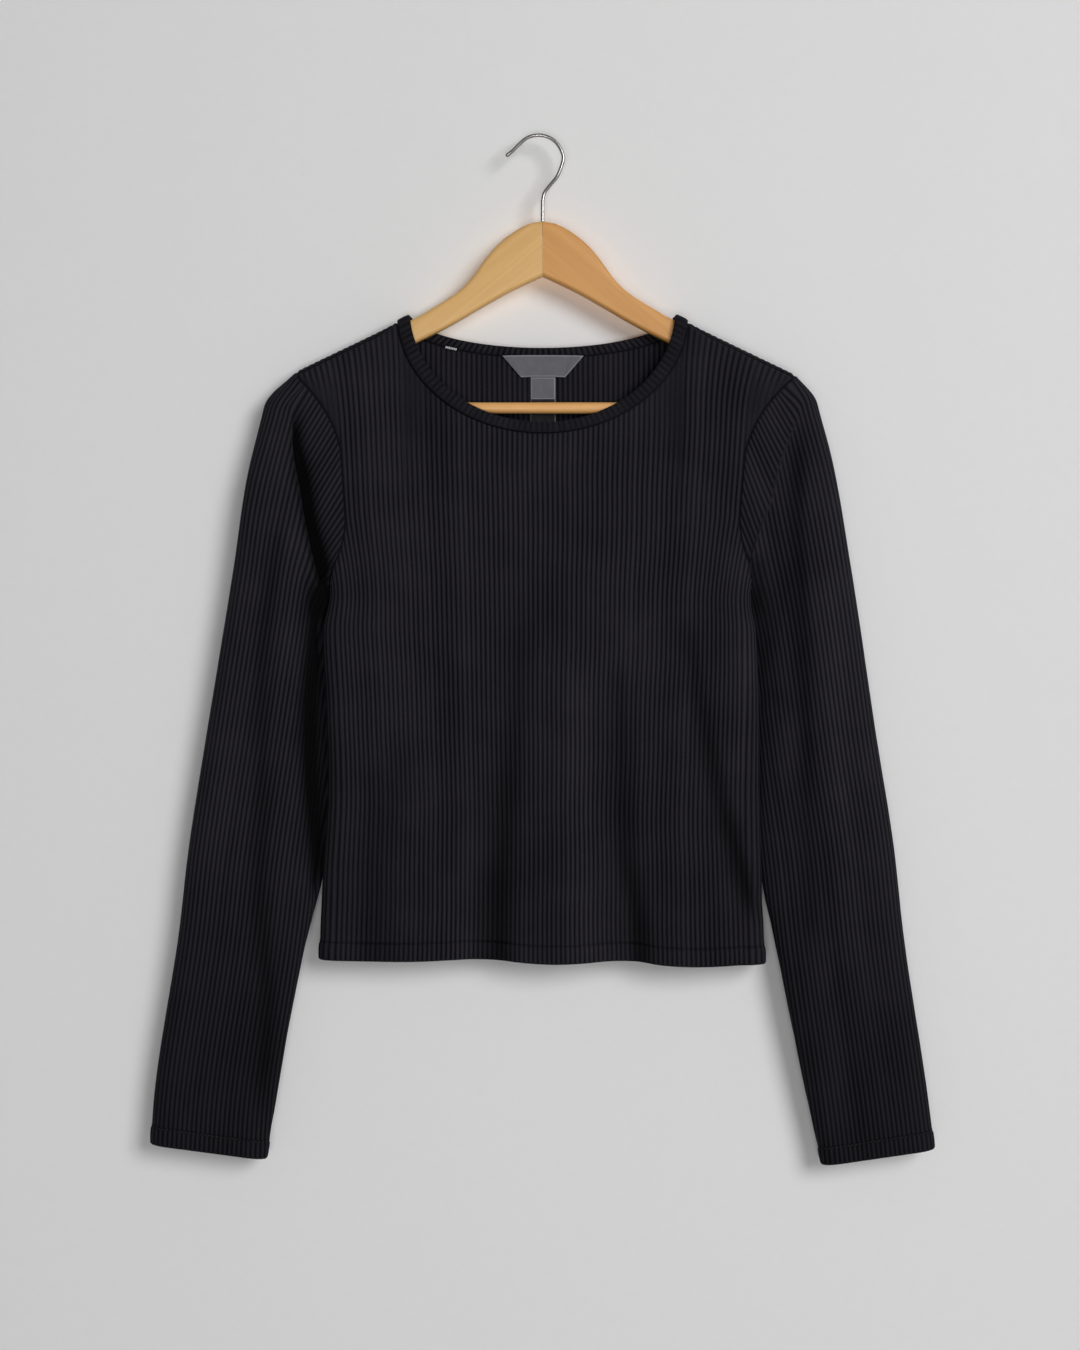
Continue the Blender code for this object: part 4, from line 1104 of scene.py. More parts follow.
def sleeve_cloth(name, side, front, back):
    """A sleeve's grid: half of it is the front, from its outer edge to its inner one, and half the back."""
    back_path = back.armhole(side)
    crest = int(back_path[:, 2].argmax())
    front_path = np.concatenate((back_path[: crest + 1][::-1], front.armhole(side)))
    half = SLEEVE_RIBS * FINE // 2
    rib = np.interp(np.arange(half + 1), *CAP_COLUMNS[side])
    whole_rib = rounded(rib, rib)
    turns = np.array(CAP_TURNS[side])
    start_z, turn_x, turn_z = hermite(rib, turns[:, 0], turns[:, 1:]).T
    start = cap_starts(side, rib, start_z, front_path)
    paths = (front_path, back_path[crest:])
    seams = [spaced(path, start * along_path(path[:, :3])[-1]) for path in paths]
    seam = rounded(*seams)
    turn = turn_line(side, rib, turn_x, turn_z)
    rings = [turn]
    for ring in SLEEVE_RINGS[side]:
        rings.append(rounded(*[ring_points(ring, rib / rib[-1], face) for face in (-1, 1)]))
    rings = np.array(rings)
    keys = np.concatenate(([0.0], np.cumsum(np.linalg.norm(np.diff(rings, axis=0), axis=2).mean(1))))
    stops = sleeve_stops(keys[-1], keys[2])
    lower = hermite(stops, keys, rings)
    part = (np.arange(CAP_ROWS + 1) / CAP_ROWS) ** CAP_ROW_POWER
    upper = cap_points(side, seam[:, :3], turn, rings[1] - rings[0], whole_rib, part)
    points = np.concatenate((upper, lower))
    in_cap = np.arange(len(points))[:, None] < len(upper)

    chord = turn - seam[:, :3]
    reach = np.linalg.norm(chord, axis=1)
    v = np.concatenate((part[:, None] * reach, reach + stops[:, None]))
    from_turn = np.abs(v - reach)
    normals = sleeve_normals(side, points, v, whole_rib, seam[:, 3:])
    u, turn_u = sleeve_ribs(side, seams, turn, lower, rib, len(upper))
    relief, dark, over = sleeve_folds(side, points, normals, whole_rib, v, from_turn, in_cap)
    outwards = chord / np.maximum(reach, LEAST_REACH)[:, None]
    points = points + normals * relief[..., None] - over[..., None] * outwards * OVERHANG

    cloth = Cloth(name, points, normals, u, v, SEEDS["sleeve"] + side, SLEEVE_STRIDE, turn=(half, turn_u))
    cut = smooth_step(CUT_FROM[side] + CUT_BLEND[0], CUT_FROM[side] + CUT_BLEND[1], whole_rib)
    flat = 1 - cut * bell(from_turn, CUT_REACH)
    height = RIB_HEIGHT * (1 + RIB_UNEVEN * uneven(u, v, SEEDS["sleeve_ribs"] + side)) * flat
    edge_distance = np.where(in_cap, FAR_FROM_EDGE, keys[-1] - (v - reach))
    cloth.raised = (
        height * rib_profile(u % 1.0) * smooth_step(0.0, RIBS_FROM_SEAM, v)
        - SEAM_DIP * bell(v, SEAM_DIP_WIDTH) + turned_up(edge_distance)
    )
    cloth.sunk = inside_of(u % 1.0, edge_distance)
    cloth.ribbed = flat * smooth_step(0.0, LOOK_FROM_SEAM, v)
    from_pit = np.hypot(points[..., 0] - side * PIT_AT[0], points[..., 2] - PIT_AT[1])
    # painted shade in the seam's groove, in the troughs (and painted light on ridges), along the cuff's
    # stitched groove, under the arm, beside the cap's fold and towards the cuff
    cloth.painted_shade = (
        SEAM_PAINTED_SHADE * bell(v, SEAM_PAINTED_SHADE_WIDTH) - relief / PAINTED_SHADE_DEPTH + hem_painted_shade(edge_distance)
        + PIT_PAINTED_SHADE[side] * bell(from_pit, PIT_REACH) + dark
        + CUFF_PAINTED_SHADE * (1 - smooth_step(*CUFF_PAINTED_SHADE_Z, points[..., 2]))
    )
    return cloth


# ---------------------------------------------------------------- neckband


def band_point(turn, share):
    """Points of the neckband: turn goes round the neck, share from its seam (0) to its edge (1)."""
    result = np.empty(np.broadcast(turn, share).shape + (3,))
    turn, share = np.broadcast_arrays(turn, share)
    half = NECK_SEAM["half"] + (NECK_EDGE["half"] - NECK_SEAM["half"]) * share
    distance = half * np.abs(np.cos(turn))
    side = np.where(np.cos(turn) < 0, -1.0, 1.0)
    for face in (-1, 1):
        line = {"half": half, face: NECK_SEAM[face] + (NECK_EDGE[face] - NECK_SEAM[face]) * share}
        made = drape(distance, side, neck_h(distance, face, line), face)
        mask = np.where(np.sin(turn) >= 0, -1, 1) == face
        result[mask] = made[mask]
    return result


# The band's section: share of its width, height over the cloth, and how much of the ribs it shows, in shape
# and in the shade painted in their grooves
BAND_SECTION = (
    (-0.02, -1.5, 0.0),
    (-0.02, -0.6, 0.1),
    (0.04, 0.1, 0.35),
    (0.13, 0.55, 0.8),
    (0.30, 0.85, 1.0),
    (0.50, 0.95, 1.0),
    (0.70, 0.9, 1.0),
    (0.85, 0.65, 0.9),
    (0.95, 0.15, 0.7),
    (0.985, -0.6, 0.6),
    (0.95, -1.35, 0.5),
    (0.80, -1.8, 0.5),
    (0.45, -1.9, 0.5),
    (0.10, -1.9, 0.3),
)


BAND_STEPS, BAND_PROBE_TURN, BAND_PROBE_SHARE = 6000, 0.001, 0.05


def make_neckband(finish):
    count = NECKBAND_RIBS * FINE
    fine = np.linspace(0.0, 2 * math.pi, BAND_STEPS + 1)
    along = along_path(band_point(fine, 0.5))
    turns = np.interp(np.linspace(0.0, along[-1], count, endpoint=False), along, fine)
    around = np.arange(count) / FINE
    height = NECKBAND_RIB_HEIGHT * rib_profile(around % 1.0)
    wave = 0.12 * np.sin(turns * 9 + 1.3) + 0.08 * np.sin(turns * 23)
    rings = []
    for share, level, ribbed in BAND_SECTION:
        across = band_point(turns + BAND_PROBE_TURN, share) - band_point(turns - BAND_PROBE_TURN, share)
        inwards = band_point(turns, share + BAND_PROBE_SHARE) - band_point(turns, share - BAND_PROBE_SHARE)
        out = level + (ribbed * height + wave) * (1 if level > -1 else -1)
        rings.append(band_point(turns, share) + unit(np.cross(across, inwards)) * out[:, None])
    grid = np.array(rings).transpose(1, 0, 2)
    section = np.array(BAND_SECTION)
    size = len(section)
    index = np.arange(count * size).reshape(count, size)
    after, beside = np.roll(index, -1, axis=0), np.roll(index, -1, axis=1)
    faces = np.stack((index, beside, np.roll(after, -1, axis=1), after), axis=2).reshape(-1, 4).tolist()
    thing = mesh_object("neckband_knit", grid.reshape(-1, 3), faces, finish, ["neckband"], 75)
    width = NECK_SEAM["half"] - NECK_EDGE["half"]
    tones = rib_tones(NECKBAND_RIBS, SEEDS["band"])
    keep_values(thing, "rib", np.repeat(around, size))
    keep_values(thing, "course", np.tile(section[:, 0] * width, count))
    keep_values(thing, "tone", np.repeat(tones[np.floor(around).astype(int)], size))
    keep_values(thing, "ribbed", np.tile(section[:, 2], count))
    # the whole band is darkened evenly through the painted-shade attribute
    keep_values(thing, "painted_shade", np.full(count * size, BAND_DARKENING))
    return thing


# ---------------------------------------------------------------- sewing thread


def capsules(name, starts, ends, normals, radius, finish):
    """Short rounded stitches of thread from starts to ends, as one piece."""
    shares = np.array((0.0, 0.12, 0.5, 0.88, 1.0))
    swell = np.array((0.25, 0.85, 1.0, 0.85, 0.25))
    sides = 6
    direction = unit(ends - starts)
    across = unit(np.cross(normals, direction))
    turn = np.arange(sides) / sides * 2 * math.pi
    middle = starts[:, None] + (ends - starts)[:, None] * shares[None, :, None]
    lift = radius * (0.9 * np.sin(math.pi * shares) - 0.2)
    middle = middle + normals[:, None] * lift[None, :, None]
    ring = across[:, None, None] * np.cos(turn)[None, None, :, None]
    ring = ring + normals[:, None, None] * np.sin(turn)[None, None, :, None]
    grid = middle[:, :, None] + ring * (radius * swell)[None, :, None, None]
    count = len(starts)
    index = np.arange(grid.size // 3).reshape(count, len(shares), sides)
    right = np.roll(index, -1, axis=2)
    walls = np.stack((index[:, :-1], right[:, :-1], right[:, 1:], index[:, 1:]), axis=3)
    faces = walls.reshape(-1, 4).tolist() + index[:, 0, ::-1].tolist() + index[:, -1].tolist()
    return mesh_object(name, grid.reshape(-1, 3), faces, finish, (), 80)


def stitch_rows(rows):
    """Starts, ends and normals of stitches along paths of points and normals."""
    starts, ends, normals = [], [], []
    for path in rows:
        length = along_path(path[:, :3])[-1]
        stops = np.arange(STITCH_START, length - STITCH_END, STITCH_PITCH)
        first, last = spaced(path, stops), spaced(path, stops + STITCH_LENGTH)
        starts.append(first[:, :3])
        ends.append(last[:, :3])
        normals.append(unit(first[:, 3:] + last[:, 3:]))
    return np.concatenate(starts), np.concatenate(ends), np.concatenate(normals)


def stitch_path(cloth, row):
    """The row of a cloth's grid on which its stitches lie, at the groove's floor."""
    lift = cloth.raised[row].min() + STITCH_LIFT
    on = cloth.points[row] + cloth.normals[row] * lift
    path = np.concatenate((on, cloth.normals[row]), axis=1)
    return np.concatenate((path, path[:1])) if cloth.closed else path


def make_tack(finish):
    """The white bar tack on the back neck: short stitches side by side."""
    x = np.linspace(*TACK_X, TACK_COUNT)
    z = TACK_Z - TACK_SLOPE * (x - TACK_X[0])
    tack = np.stack((x, face_depth(x, z, 1) - WALL - TACK_IN, z), axis=1)
    up = np.tile((0.0, -1.0, 0.0), (TACK_COUNT, 1))
    capsules("bar_tack_thread", tack - TACK_LEAN, tack + TACK_LEAN, up, TACK_RADIUS, finish)


# ---------------------------------------------------------------- labels


def make_label(name, finish):
    """A woven label: thin, a little curved with the cloth; the neck label's upper corners are thicker, folded
    and sewn down.
    """
    top_half, bottom_half, top, bottom, layers = LABELS[name]
    across, down = 40, 28
    near = WALL + SEAM_GAP + (LABEL_THICK + SEAM_GAP) * (1 - layers)
    column, row = np.meshgrid(np.linspace(-1, 1, across + 1), np.linspace(0, 1, down + 1))
    half = top_half + (bottom_half - top_half) * row
    z = top + (bottom - top) * row - 0.5 * np.abs(column) ** 3 * (name == "neck_label")
    x = LABEL_X + half * column
    base = face_depth(x, z, 1) - near
    wave = 0.18 * np.sin(column * 2.1 + row * 3.0) + 0.12 * np.sin(column * 7 + 1 + row * 2)
    edge = np.minimum((1 - np.abs(column)) * half, np.minimum(row, 1 - row) * (top - bottom))
    thick = LABEL_THICK * (0.35 + 0.65 * smooth_step(0.0, 0.6, edge))
    if name == "neck_label":
        fold = smooth_step(-0.4, 0.4, np.abs(column) * half - (half - 9.5 + 9.0 * row))
        thick = thick + 0.35 * fold
    front = np.stack((x, base - thick + wave * 0.6, z), axis=-1)
    back = np.stack((x, base + wave * 0.6, z), axis=-1)
    index = np.arange((across + 1) * (down + 1)).reshape(down + 1, across + 1)
    quads = np.stack((index[:-1, :-1], index[:-1, 1:], index[1:, 1:], index[1:, :-1]), axis=2).reshape(-1, 4)
    size = index.size
    faces = quads.tolist() + (quads[:, ::-1] + size).tolist()
    ring = np.concatenate((index[0, :-1], index[:-1, -1], index[-1, :0:-1], index[:0:-1, 0]))
    for a, b in zip(ring, np.roll(ring, -1)):
        faces.append([int(b), int(a), int(a) + size, int(b) + size])
    points = np.concatenate((front.reshape(-1, 3), back.reshape(-1, 3)))
    thing = mesh_object(name + "_woven", points, faces, finish, [name], 75)
    for attribute, grid in (("across", x - LABEL_X), ("down", z - top), ("edge", edge)):
        keep_values(thing, attribute, np.tile(grid.ravel(), 2))


# ---------------------------------------------------------------- the hanger


def make_arm(name, side, finish):
    """A flat board with rounded edges; its end at the centre line stays square."""
    top = smooth_line(ARM_TOP, 5)
    tip = smooth_line((ARM_TOP[-1],) + ARM_TIP + (ARM_UNDER[0],), 4)[1:-1]
    outline = np.concatenate((top, tip, smooth_line(ARM_UNDER, 5)))
    outline[:, 0] = CENTRE_X + side * np.maximum(outline[:, 0], ARM_GAP)
    form = bmesh.new()
    corners = [form.verts.new((MM * x, -MM * ARM_THICK / 2, MM * z)) for x, z in outline.tolist()]
    moved = bmesh.ops.extrude_face_region(form, geom=[form.faces.new(corners)])["geom"]
    for vertex in (item for item in moved if isinstance(item, bmesh.types.BMVert)):
        vertex.co.y += MM * ARM_THICK
    bmesh.ops.recalc_face_normals(form, faces=form.faces)
    joint_x = CENTRE_X + side * ARM_GAP
    edges = []
    for edge in form.edges:
        level = abs(edge.verts[0].co.y - edge.verts[1].co.y) < MM * 0.01
        at_joint = all(abs(v.co.x - MM * joint_x) < MM * 0.05 for v in edge.verts)
        if level and not at_joint:
            edges.append(edge)
    bmesh.ops.bevel(
        form, geom=edges, offset=MM * ARM_EDGE, offset_type="OFFSET", segments=6, profile=0.5,
        affect="EDGES", clamp_overlap=True,
    )
    mesh = bpy.data.meshes.new(name)
    form.to_mesh(mesh)
    form.free()
    return new_piece(name + "_wood", mesh, finish, [name], 50)


def tube(name, route, radii, sides, finish, replaced):
    """A round bar or wire along a route of points, with rounded ends where its radii shrink."""
    route = np.asarray(route, float)
    direction = unit(np.gradient(route, axis=0))
    up = np.array((0.0, 1.0, 0.0))
    across = unit(np.cross(direction, up))
    other = np.cross(across, direction)
    turn = np.arange(sides) / sides * 2 * math.pi
    ring = across[:, None] * np.cos(turn)[None, :, None] + other[:, None] * np.sin(turn)[None, :, None]
    grid = route[:, None] + ring * np.asarray(radii)[:, None, None]
    index = np.arange(len(route) * sides).reshape(len(route), sides)
    right = np.roll(index, -1, axis=1)
    faces = np.stack((index[:-1], right[:-1], right[1:], index[1:]), axis=2).reshape(-1, 4).tolist()
    faces += [index[0, ::-1].tolist(), index[-1].tolist()]
    return mesh_object(name, grid.reshape(-1, 3), faces, finish, replaced, 70)


def make_bar(finish):
    count = 60
    x = np.linspace(-(BAR_REACH - SEAM_GAP), BAR_REACH - SEAM_GAP, count)
    route = np.stack((CENTRE_X + x, np.zeros(count), np.full(count, BAR_Z)), axis=1)
    radii = np.full(count, BAR_DIAMETER / 2) + 0.05 * np.sin(x / 17)
    return tube("hanger_bar_wood", route, radii, 40, finish, ["hanger_bar"])


def make_hook(finish):
    crown_z = WIRE_DIAMETER / 2 - CROWN_RADIUS
    crown = []
    for degrees in range(CROWN_FROM_DEG, CROWN_TO_DEG - 1, -CROWN_STEP_DEG):
        angle = math.radians(degrees)
        crown.append((CROWN_X + CROWN_RADIUS * math.cos(angle), crown_z + CROWN_RADIUS * math.sin(angle)))
    bend = smooth_line(list(HOOK_TIP) + crown + list(HOOK_NECK), 8)
    stem = np.linspace(bend[-1], (CENTRE_X, STEM_BOTTOM_Z), 12)[1:]
    flat = np.concatenate((bend, stem))
    route = np.stack((flat[:, 0], np.zeros(len(flat)), flat[:, 1]), axis=1)
    along = along_path(route)
    radii = np.full(len(route), WIRE_DIAMETER / 2)
    radii = radii + HOOK_SWELL * bell(along - HOOK_SWELL_AT, HOOK_SWELL_REACH)
    radii = radii * np.sqrt(np.clip(along / HOOK_END, 0.02, 1.0))
    return tube("hanger_hook_wire", route, radii, 20, finish, ["hanger_hook"])


# ---------------------------------------------------------------- finishes


class Nodes:
    """Short hand for building a node tree."""

    def __init__(self, name):
        self.material = bpy.data.materials.new(name)
        self.material.use_nodes = True
        self.tree = self.material.node_tree
        self.shader = self.tree.nodes["Principled BSDF"]

    def add(self, kind, **settings):
        node = self.tree.nodes.new(kind)
        for key, value in settings.items():
            setattr(node, key, value)
        return node

    def link(self, source, target):
        self.tree.links.new(source, target)

    def fill(self, socket, value):
        if isinstance(value, bpy.types.NodeSocket):
            self.link(value, socket)
        else:
            socket.default_value = value

    def math(self, operation, *values, clamp=False):
        node = self.add("ShaderNodeMath", operation=operation, use_clamp=clamp)
        for socket, value in zip(node.inputs, values):
            self.fill(socket, value)
        return node.outputs[0]

    def attribute(self, name):
        return self.add("ShaderNodeAttribute", attribute_name=name).outputs["Fac"]

    def noise(self, vector, scale, detail=2.0, rough=0.5):
        node = self.add("ShaderNodeTexNoise")
        node.inputs["Scale"].default_value = scale
        node.inputs["Detail"].default_value = detail
        node.inputs["Roughness"].default_value = rough
        self.fill(node.inputs["Vector"], vector)
        return node.outputs["Fac"]

    def mix(self, factor, one, other, blend="MIX"):
        node = self.add("ShaderNodeMix", data_type="RGBA", blend_type=blend)
        self.fill(node.inputs[0], factor)
        self.fill(node.inputs[6], one)
        self.fill(node.inputs[7], other)
        return node.outputs[2]

    def mapped(self, value, low, high, to_low, to_high):
        node = self.add("ShaderNodeMapRange")
        for socket, number in zip(node.inputs, (value, low, high, to_low, to_high)):
            self.fill(socket, number)
        return node.outputs[0]

    def bump(self, height, strength, distance, normal=None):
        node = self.add("ShaderNodeBump")
        node.inputs["Strength"].default_value = strength
        node.inputs["Distance"].default_value = distance
        self.link(height, node.inputs["Height"])
        if normal is not None:
            self.link(normal, node.inputs["Normal"])
        return node.outputs["Normal"]


def knit_finish():
    """Black rib knit: rows of stitches on the ribs, uneven dye, painted shade in the grooves and wherever the
    painted-shade attribute asks for it, and a faint fuzz.
    """
    n = Nodes("black_rib_knit")
    rib, course, tone = n.attribute("rib"), n.attribute("course"), n.attribute("tone")
    phase = n.math("FRACT", rib)
    lean = n.math("ABSOLUTE", n.math("SUBTRACT", phase, 0.5))
    loops = n.math("ADD", n.math("MULTIPLY", course, 2 * math.pi / 1.35), n.math("MULTIPLY", lean, 5.0))
    stitch = n.math("MULTIPLY_ADD", n.math("SINE", loops), 0.5, 0.5)
    back_of_rib = n.math("SINE", n.math("MULTIPLY", phase, math.pi))
    place = n.add("ShaderNodeTexCoord").outputs["Object"]
    fuzz = n.noise(place, 1400.0, 3.0, 0.65)
    cloud = n.noise(place, 26.0, 3.0, 0.55)

    dark, light = (0.0026, 0.0024, 0.0034, 1), (0.0265, 0.0245, 0.0312, 1)
    # painted shade in the grooves: the colour runs from light on a rib's crest to dark in its grooves, as
    # fully as ribbed says
    crest = n.math("MULTIPLY", n.math("POWER", back_of_rib, 1.5), 0.86)
    ribbed = n.attribute("ribbed")
    shade = n.math("ADD", n.math("MULTIPLY", n.math("SUBTRACT", crest, 0.42), ribbed), 0.42)
    shade = n.math("ADD", shade, n.math("MULTIPLY", tone, 0.075))
    shade = n.math("ADD", shade, n.math("MULTIPLY_ADD", cloud, 0.34, -0.17))
    shade = n.math("ADD", shade, n.math("MULTIPLY_ADD", fuzz, 0.5, -0.25))
    shade = n.math("ADD", shade, n.math("MULTIPLY_ADD", stitch, 0.12, -0.06), clamp=True)
    # the painted shade (and painted light) kept on the mesh, multiplied into the colour
    lit = n.math("MULTIPLY_ADD", n.attribute("painted_shade"), -0.93, 1.0)
    n.link(n.mix(1.0, n.mix(shade, dark, light), lit, "MULTIPLY"), n.shader.inputs["Base Color"])
    n.link(n.mapped(fuzz, 0.3, 0.7, 0.78, 0.95), n.shader.inputs["Roughness"])
    n.shader.inputs["Specular IOR Level"].default_value = 0.07
    n.shader.inputs["Sheen Weight"].default_value = 0.02
    n.shader.inputs["Sheen Roughness"].default_value = 0.55
    n.shader.inputs["Sheen Tint"].default_value = (0.72, 0.68, 0.85, 1)
    stitched = n.bump(stitch, 0.5, 0.00022)
    n.link(n.bump(fuzz, 0.5, 0.00018, stitched), n.shader.inputs["Normal"])
    return n.material


def thread_finish(name, dark, light):
    n = Nodes(name)
    place = n.add("ShaderNodeTexCoord").outputs["Object"]
    twist = n.noise(place, 2600.0, 2.0, 0.6)
    colours = [(tone, tone, tone * 1.05, 1) for tone in (dark, light)]
    n.link(n.mix(twist, *colours), n.shader.inputs["Base Color"])
    n.shader.inputs["Roughness"].default_value = 0.6
    n.link(n.bump(twist, 0.4, 0.0001), n.shader.inputs["Normal"])
    return n.material


def label_finish(name, dark, light, fold, highlight_width):
    """Woven satin: fine upright floats crossed by weft rows, with a painted highlight along its folded edges.
    """
    n = Nodes(name)
    across, down, edge = n.attribute("across"), n.attribute("down"), n.attribute("edge")
    floats = n.math("SINE", n.math("MULTIPLY", across, 2 * math.pi / 0.42))
    rows = n.math("SINE", n.math("MULTIPLY", down, 2 * math.pi / 0.55))
    weave = n.math("MULTIPLY_ADD", n.math("MULTIPLY", floats, rows), 0.5, 0.5)
    place = n.add("ShaderNodeTexCoord").outputs["Object"]
    cloud = n.noise(place, 180.0, 3.0, 0.6)
    shade = n.math("ADD", n.math("MULTIPLY", weave, 0.35), n.math("MULTIPLY", cloud, 0.55), clamp=True)
    cloth = n.mix(shade, dark, light)
    # painted highlight in the fold colour along the label's folded edges
    edge_highlight = n.mapped(edge, 0.3 * highlight_width, highlight_width, 1.0, 0.0)
    n.link(n.mix(edge_highlight, cloth, fold), n.shader.inputs["Base Color"])
    n.shader.inputs["Roughness"].default_value = 0.5
    n.shader.inputs["Specular IOR Level"].default_value = 0.2
    n.link(n.bump(weave, 0.35, 0.00012), n.shader.inputs["Normal"])
    return n.material


def wood_finish(name, turn, light, dark):
    """Clear-lacquered pale wood: the grain runs along the piece, which leans by turn radians."""
    n = Nodes(name)
    place = n.add("ShaderNodeTexCoord").outputs["Object"]
    lean = n.add("ShaderNodeMapping", vector_type="TEXTURE")
    lean.inputs["Rotation"].default_value = (0.0, turn, 0.0)
    n.link(place, lean.inputs["Vector"])
    stretch = n.add("ShaderNodeMapping", vector_type="POINT")
    stretch.inputs["Scale"].default_value = (0.06, 1.0, 1.0)
    n.link(lean.outputs[0], stretch.inputs["Vector"])
    vector = stretch.outputs[0]
    bands = n.noise(vector, 150.0, 4.0, 0.6)
    pores = n.noise(vector, 1500.0, 2.0, 0.6)
    broad = n.noise(vector, 34.0, 2.0, 0.5)
    rings = n.math("SINE", n.math("MULTIPLY_ADD", broad, 60.0, n.math("MULTIPLY", bands, 5.0)))
    shade = n.math("ADD", n.math("MULTIPLY_ADD", rings, 0.09, 0.14), n.math("MULTIPLY", bands, 0.5))
    shade = n.math("ADD", shade, n.math("MULTIPLY", pores, 0.22), clamp=True)
    n.link(n.mix(shade, light, dark), n.shader.inputs["Base Color"])
    n.link(n.mapped(pores, 0.3, 0.8, 0.42, 0.6), n.shader.inputs["Roughness"])
    n.shader.inputs["Coat Weight"].default_value = 0.18
    n.shader.inputs["Coat Roughness"].default_value = 0.3
    n.link(n.bump(pores, 0.2, 0.0001), n.shader.inputs["Normal"])
    return n.material


def steel_finish():
    n = Nodes("bright_wire")
    place = n.add("ShaderNodeTexCoord").outputs["Object"]
    wear = n.noise(place, 60.0, 2.0, 0.5)
    n.link(n.mix(wear, (0.34, 0.33, 0.32, 1), (0.50, 0.49, 0.48, 1)), n.shader.inputs["Base Color"])
    n.link(n.mapped(wear, 0.3, 0.7, 0.2, 0.34), n.shader.inputs["Roughness"])
    n.shader.inputs["Metallic"].default_value = 1.0
    n.link(n.bump(wear, 0.04, 0.0001), n.shader.inputs["Normal"])
    return n.material


# ---------------------------------------------------------------- stage, light and camera

CAMERA_AWAY = 1.9
IMAGE_CENTRE_Z = -0.4304
FRAME_HEIGHT = 1.08
SENSOR = 36.0
WALL_Y, WALL_HALF, WALL_TOP, WALL_GREY = 0.022, 2.2, 1.6, 0.80
FLOOR_Z, FLOOR_HALF, FLOOR_GREY = -1.35, 6.0, 0.25
ROOM_LIGHT = 0.13
LIGHTS_FACE = (0.0, 0.0, -0.4)
LIGHTS = (  # name, place, width and power
    ("window", (2.5, -4.2, 1.0), 2.5, 141.0),
    ("fill", (-0.1, -3.4, -1.2), 1.2, 40.0),
    ("behind", (0.2, 3.0, 1.0), 1.0, 60.0),
)


def stage_plane(name, corners, grey, one_sided):
    mesh = bpy.data.meshes.new(name)
    mesh.from_pydata(corners, [], [(0, 1, 2, 3)])
    thing = new_object(name, mesh)
    n = Nodes(name + "_paint")
    place = n.add("ShaderNodeTexCoord").outputs["Object"]
    grain = n.noise(place, 160.0, 4.0, 0.6)
    plain, lighter = [(tone, tone, tone, 1) for tone in (grey, grey * 1.03)]
    n.link(n.mix(grain, plain, lighter), n.shader.inputs["Base Color"])
    n.shader.inputs["Roughness"].default_value = 0.9
    n.shader.inputs["Specular IOR Level"].default_value = 0.1
    if one_sided:
        choose = n.add("ShaderNodeMixShader")
        n.link(n.add("ShaderNodeNewGeometry").outputs["Backfacing"], choose.inputs[0])
        n.link(n.shader.outputs[0], choose.inputs[1])
        n.link(n.add("ShaderNodeBsdfTransparent").outputs[0], choose.inputs[2])
        n.link(choose.outputs[0], n.tree.nodes["Material Output"].inputs["Surface"])
        thing.visible_shadow = False
    mesh.materials.append(n.material)


def area_light(name, place, size, power):
    data = bpy.data.lights.new(name, "AREA")
    data.shape = "DISK"
    data.size = size
    data.energy = power
    thing = new_object(name, data)
    thing.location = place
    aim = Vector(LIGHTS_FACE) - Vector(place)
    thing.rotation_euler = aim.to_track_quat("-Z", "Y").to_euler()


def set_stage():
    scene = bpy.context.scene
    data = bpy.data.cameras.new("camera")
    data.sensor_width = SENSOR
    data.lens = SENSOR * CAMERA_AWAY / FRAME_HEIGHT
    camera = new_object("camera", data)
    camera.location = (0.0, -CAMERA_AWAY, IMAGE_CENTRE_Z)
    camera.rotation_euler = (math.pi / 2, 0.0, 0.0)
    scene.camera = camera
    scene.view_settings.view_transform = "Standard"
    scene.view_settings.look = "None"

    low, high = [[(x, WALL_Y, z) for x in (-WALL_HALF, WALL_HALF)] for z in (FLOOR_Z, WALL_TOP)]
    stage_plane("wall", low + high[::-1], WALL_GREY, True)
    near, far = [[(x, y, FLOOR_Z) for x in (-FLOOR_HALF, FLOOR_HALF)] for y in (-FLOOR_HALF, FLOOR_HALF)]
    stage_plane("floor", near + far[::-1], FLOOR_GREY, False)

    world = bpy.data.worlds.new("room")
    world.use_nodes = True
    world.node_tree.nodes["Background"].inputs["Color"].default_value = (1.0, 1.0, 1.0, 1)
    world.node_tree.nodes["Background"].inputs["Strength"].default_value = ROOM_LIGHT
    scene.world = world
    for light in LIGHTS:
        area_light(*light)
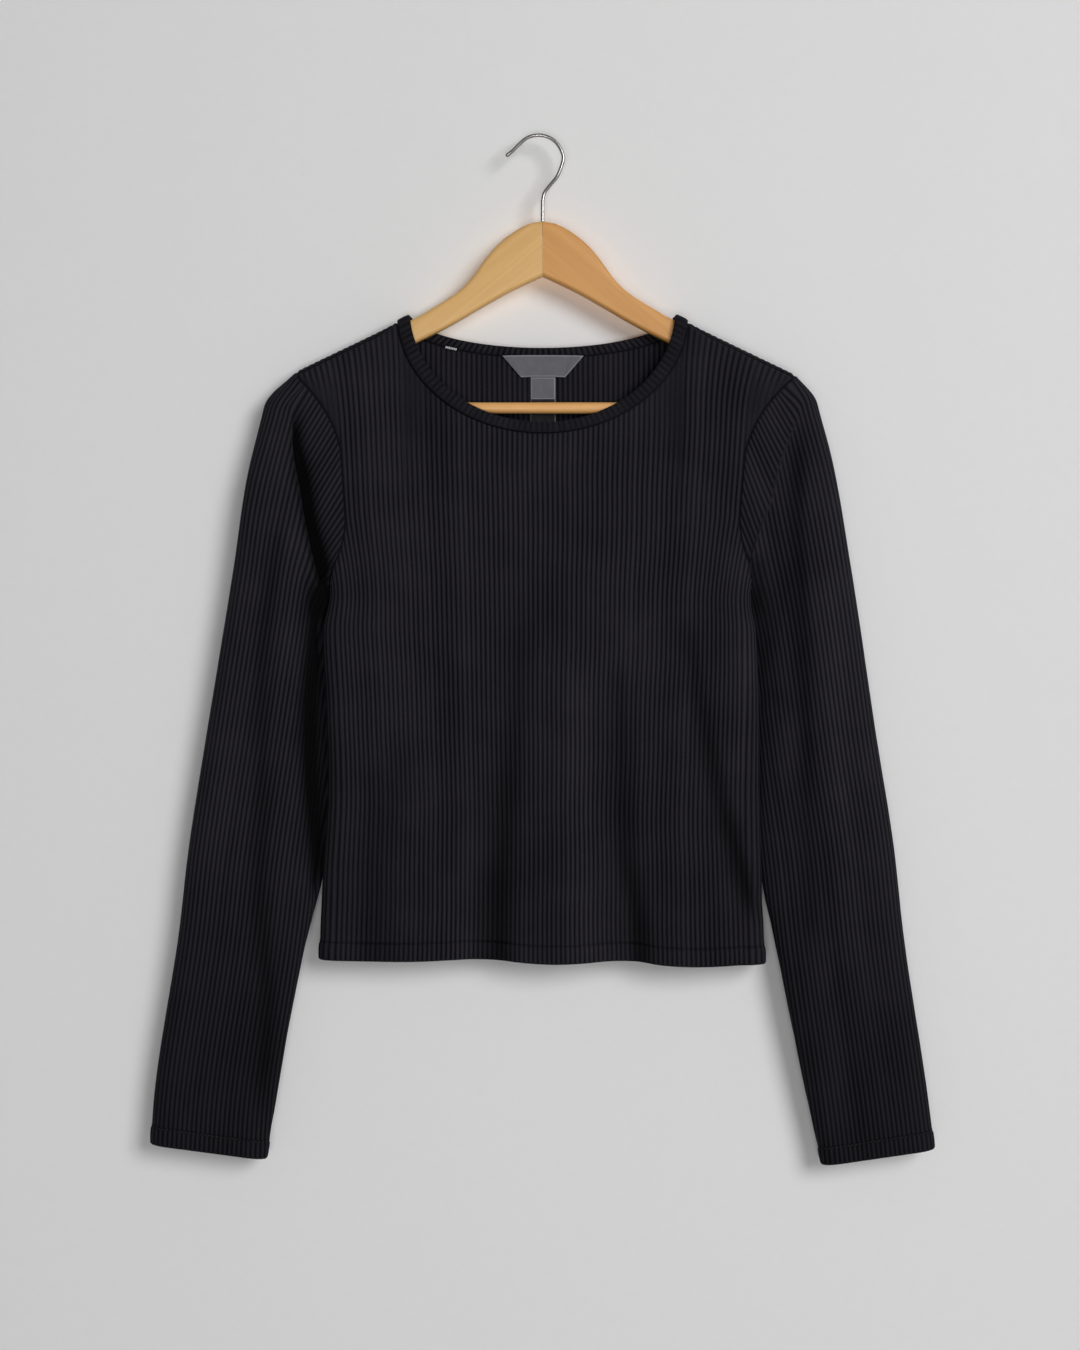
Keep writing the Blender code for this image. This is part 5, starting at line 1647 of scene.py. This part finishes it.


# ---------------------------------------------------------------- making it all


# The labels' colours: dark and light thread, the painted highlight along the folded edge, and how wide it
# shows
GREY_LABEL = ((0.08, 0.078, 0.088, 1), (0.165, 0.162, 0.18, 1), (0.25, 0.25, 0.265, 1), 1.3)
BLACK_LABEL = ((0.003, 0.003, 0.003, 1), (0.008, 0.008, 0.008, 1), (0.17, 0.17, 0.175, 1), 1.0)
# the left arm's grain is painted lighter and the right arm's darker, standing in for the light on the one arm
# and the shade on the other
WOOD = {  # the lighter and the darker colour of the grain
    "left": ((0.84, 0.52, 0.20, 1), (0.64, 0.35, 0.11, 1)),
    "right": ((0.77, 0.40, 0.12, 1), (0.56, 0.24, 0.055, 1)),
    "bar": ((0.92, 0.52, 0.19, 1), (0.70, 0.33, 0.10, 1)),
}


def make_all():
    knit, thread = knit_finish(), thread_finish("black_thread", 0.006, 0.02)
    front, back = Panel(-1), Panel(1)
    cloths = {
        "front_panel": front.cloth("front_knit"),
        "back_panel": back.cloth("back_knit"),
        "sleeve_left": sleeve_cloth("sleeve_left_knit", -1, front, back),
        "sleeve_right": sleeve_cloth("sleeve_right_knit", 1, front, back),
    }
    made = {node: cloth.build(knit, [node]) for node, cloth in cloths.items()}
    made["neckband"] = make_neckband(knit)

    hem_row = HEM_STOPS.index(HEM_DEPTH)
    paths = []
    for cloth in cloths.values():
        paths.append(stitch_path(cloth, len(cloth.points) - 1 - hem_row if cloth.closed else hem_row))
    capsules("edge_stitches", *stitch_rows(paths), STITCH_RADIUS, thread)
    make_tack(thread_finish("white_thread", 0.38, 0.58))

    grey = label_finish("grey_woven_label", *GREY_LABEL)
    black = label_finish("black_woven_label", *BLACK_LABEL)
    for name in LABELS:
        make_label(name, black if name == "care_label" else grey)

    start, end = ARM_TOP[GRAIN_FROM], ARM_TOP[GRAIN_TO]
    slope = math.atan2(end[1] - start[1], end[0] - start[0])
    make_arm("hanger_arm_left", -1, wood_finish("wood_left_painted_light", slope, *WOOD["left"]))
    make_arm("hanger_arm_right", 1, wood_finish("wood_right_painted_shade", -slope, *WOOD["right"]))
    make_bar(wood_finish("wood_bar", 0.0, *WOOD["bar"]))
    make_hook(steel_finish())
    return made


made = make_all()
set_stage()

for label in LABELS:
    top_half, bottom_half, top, bottom, _ = LABELS[label]
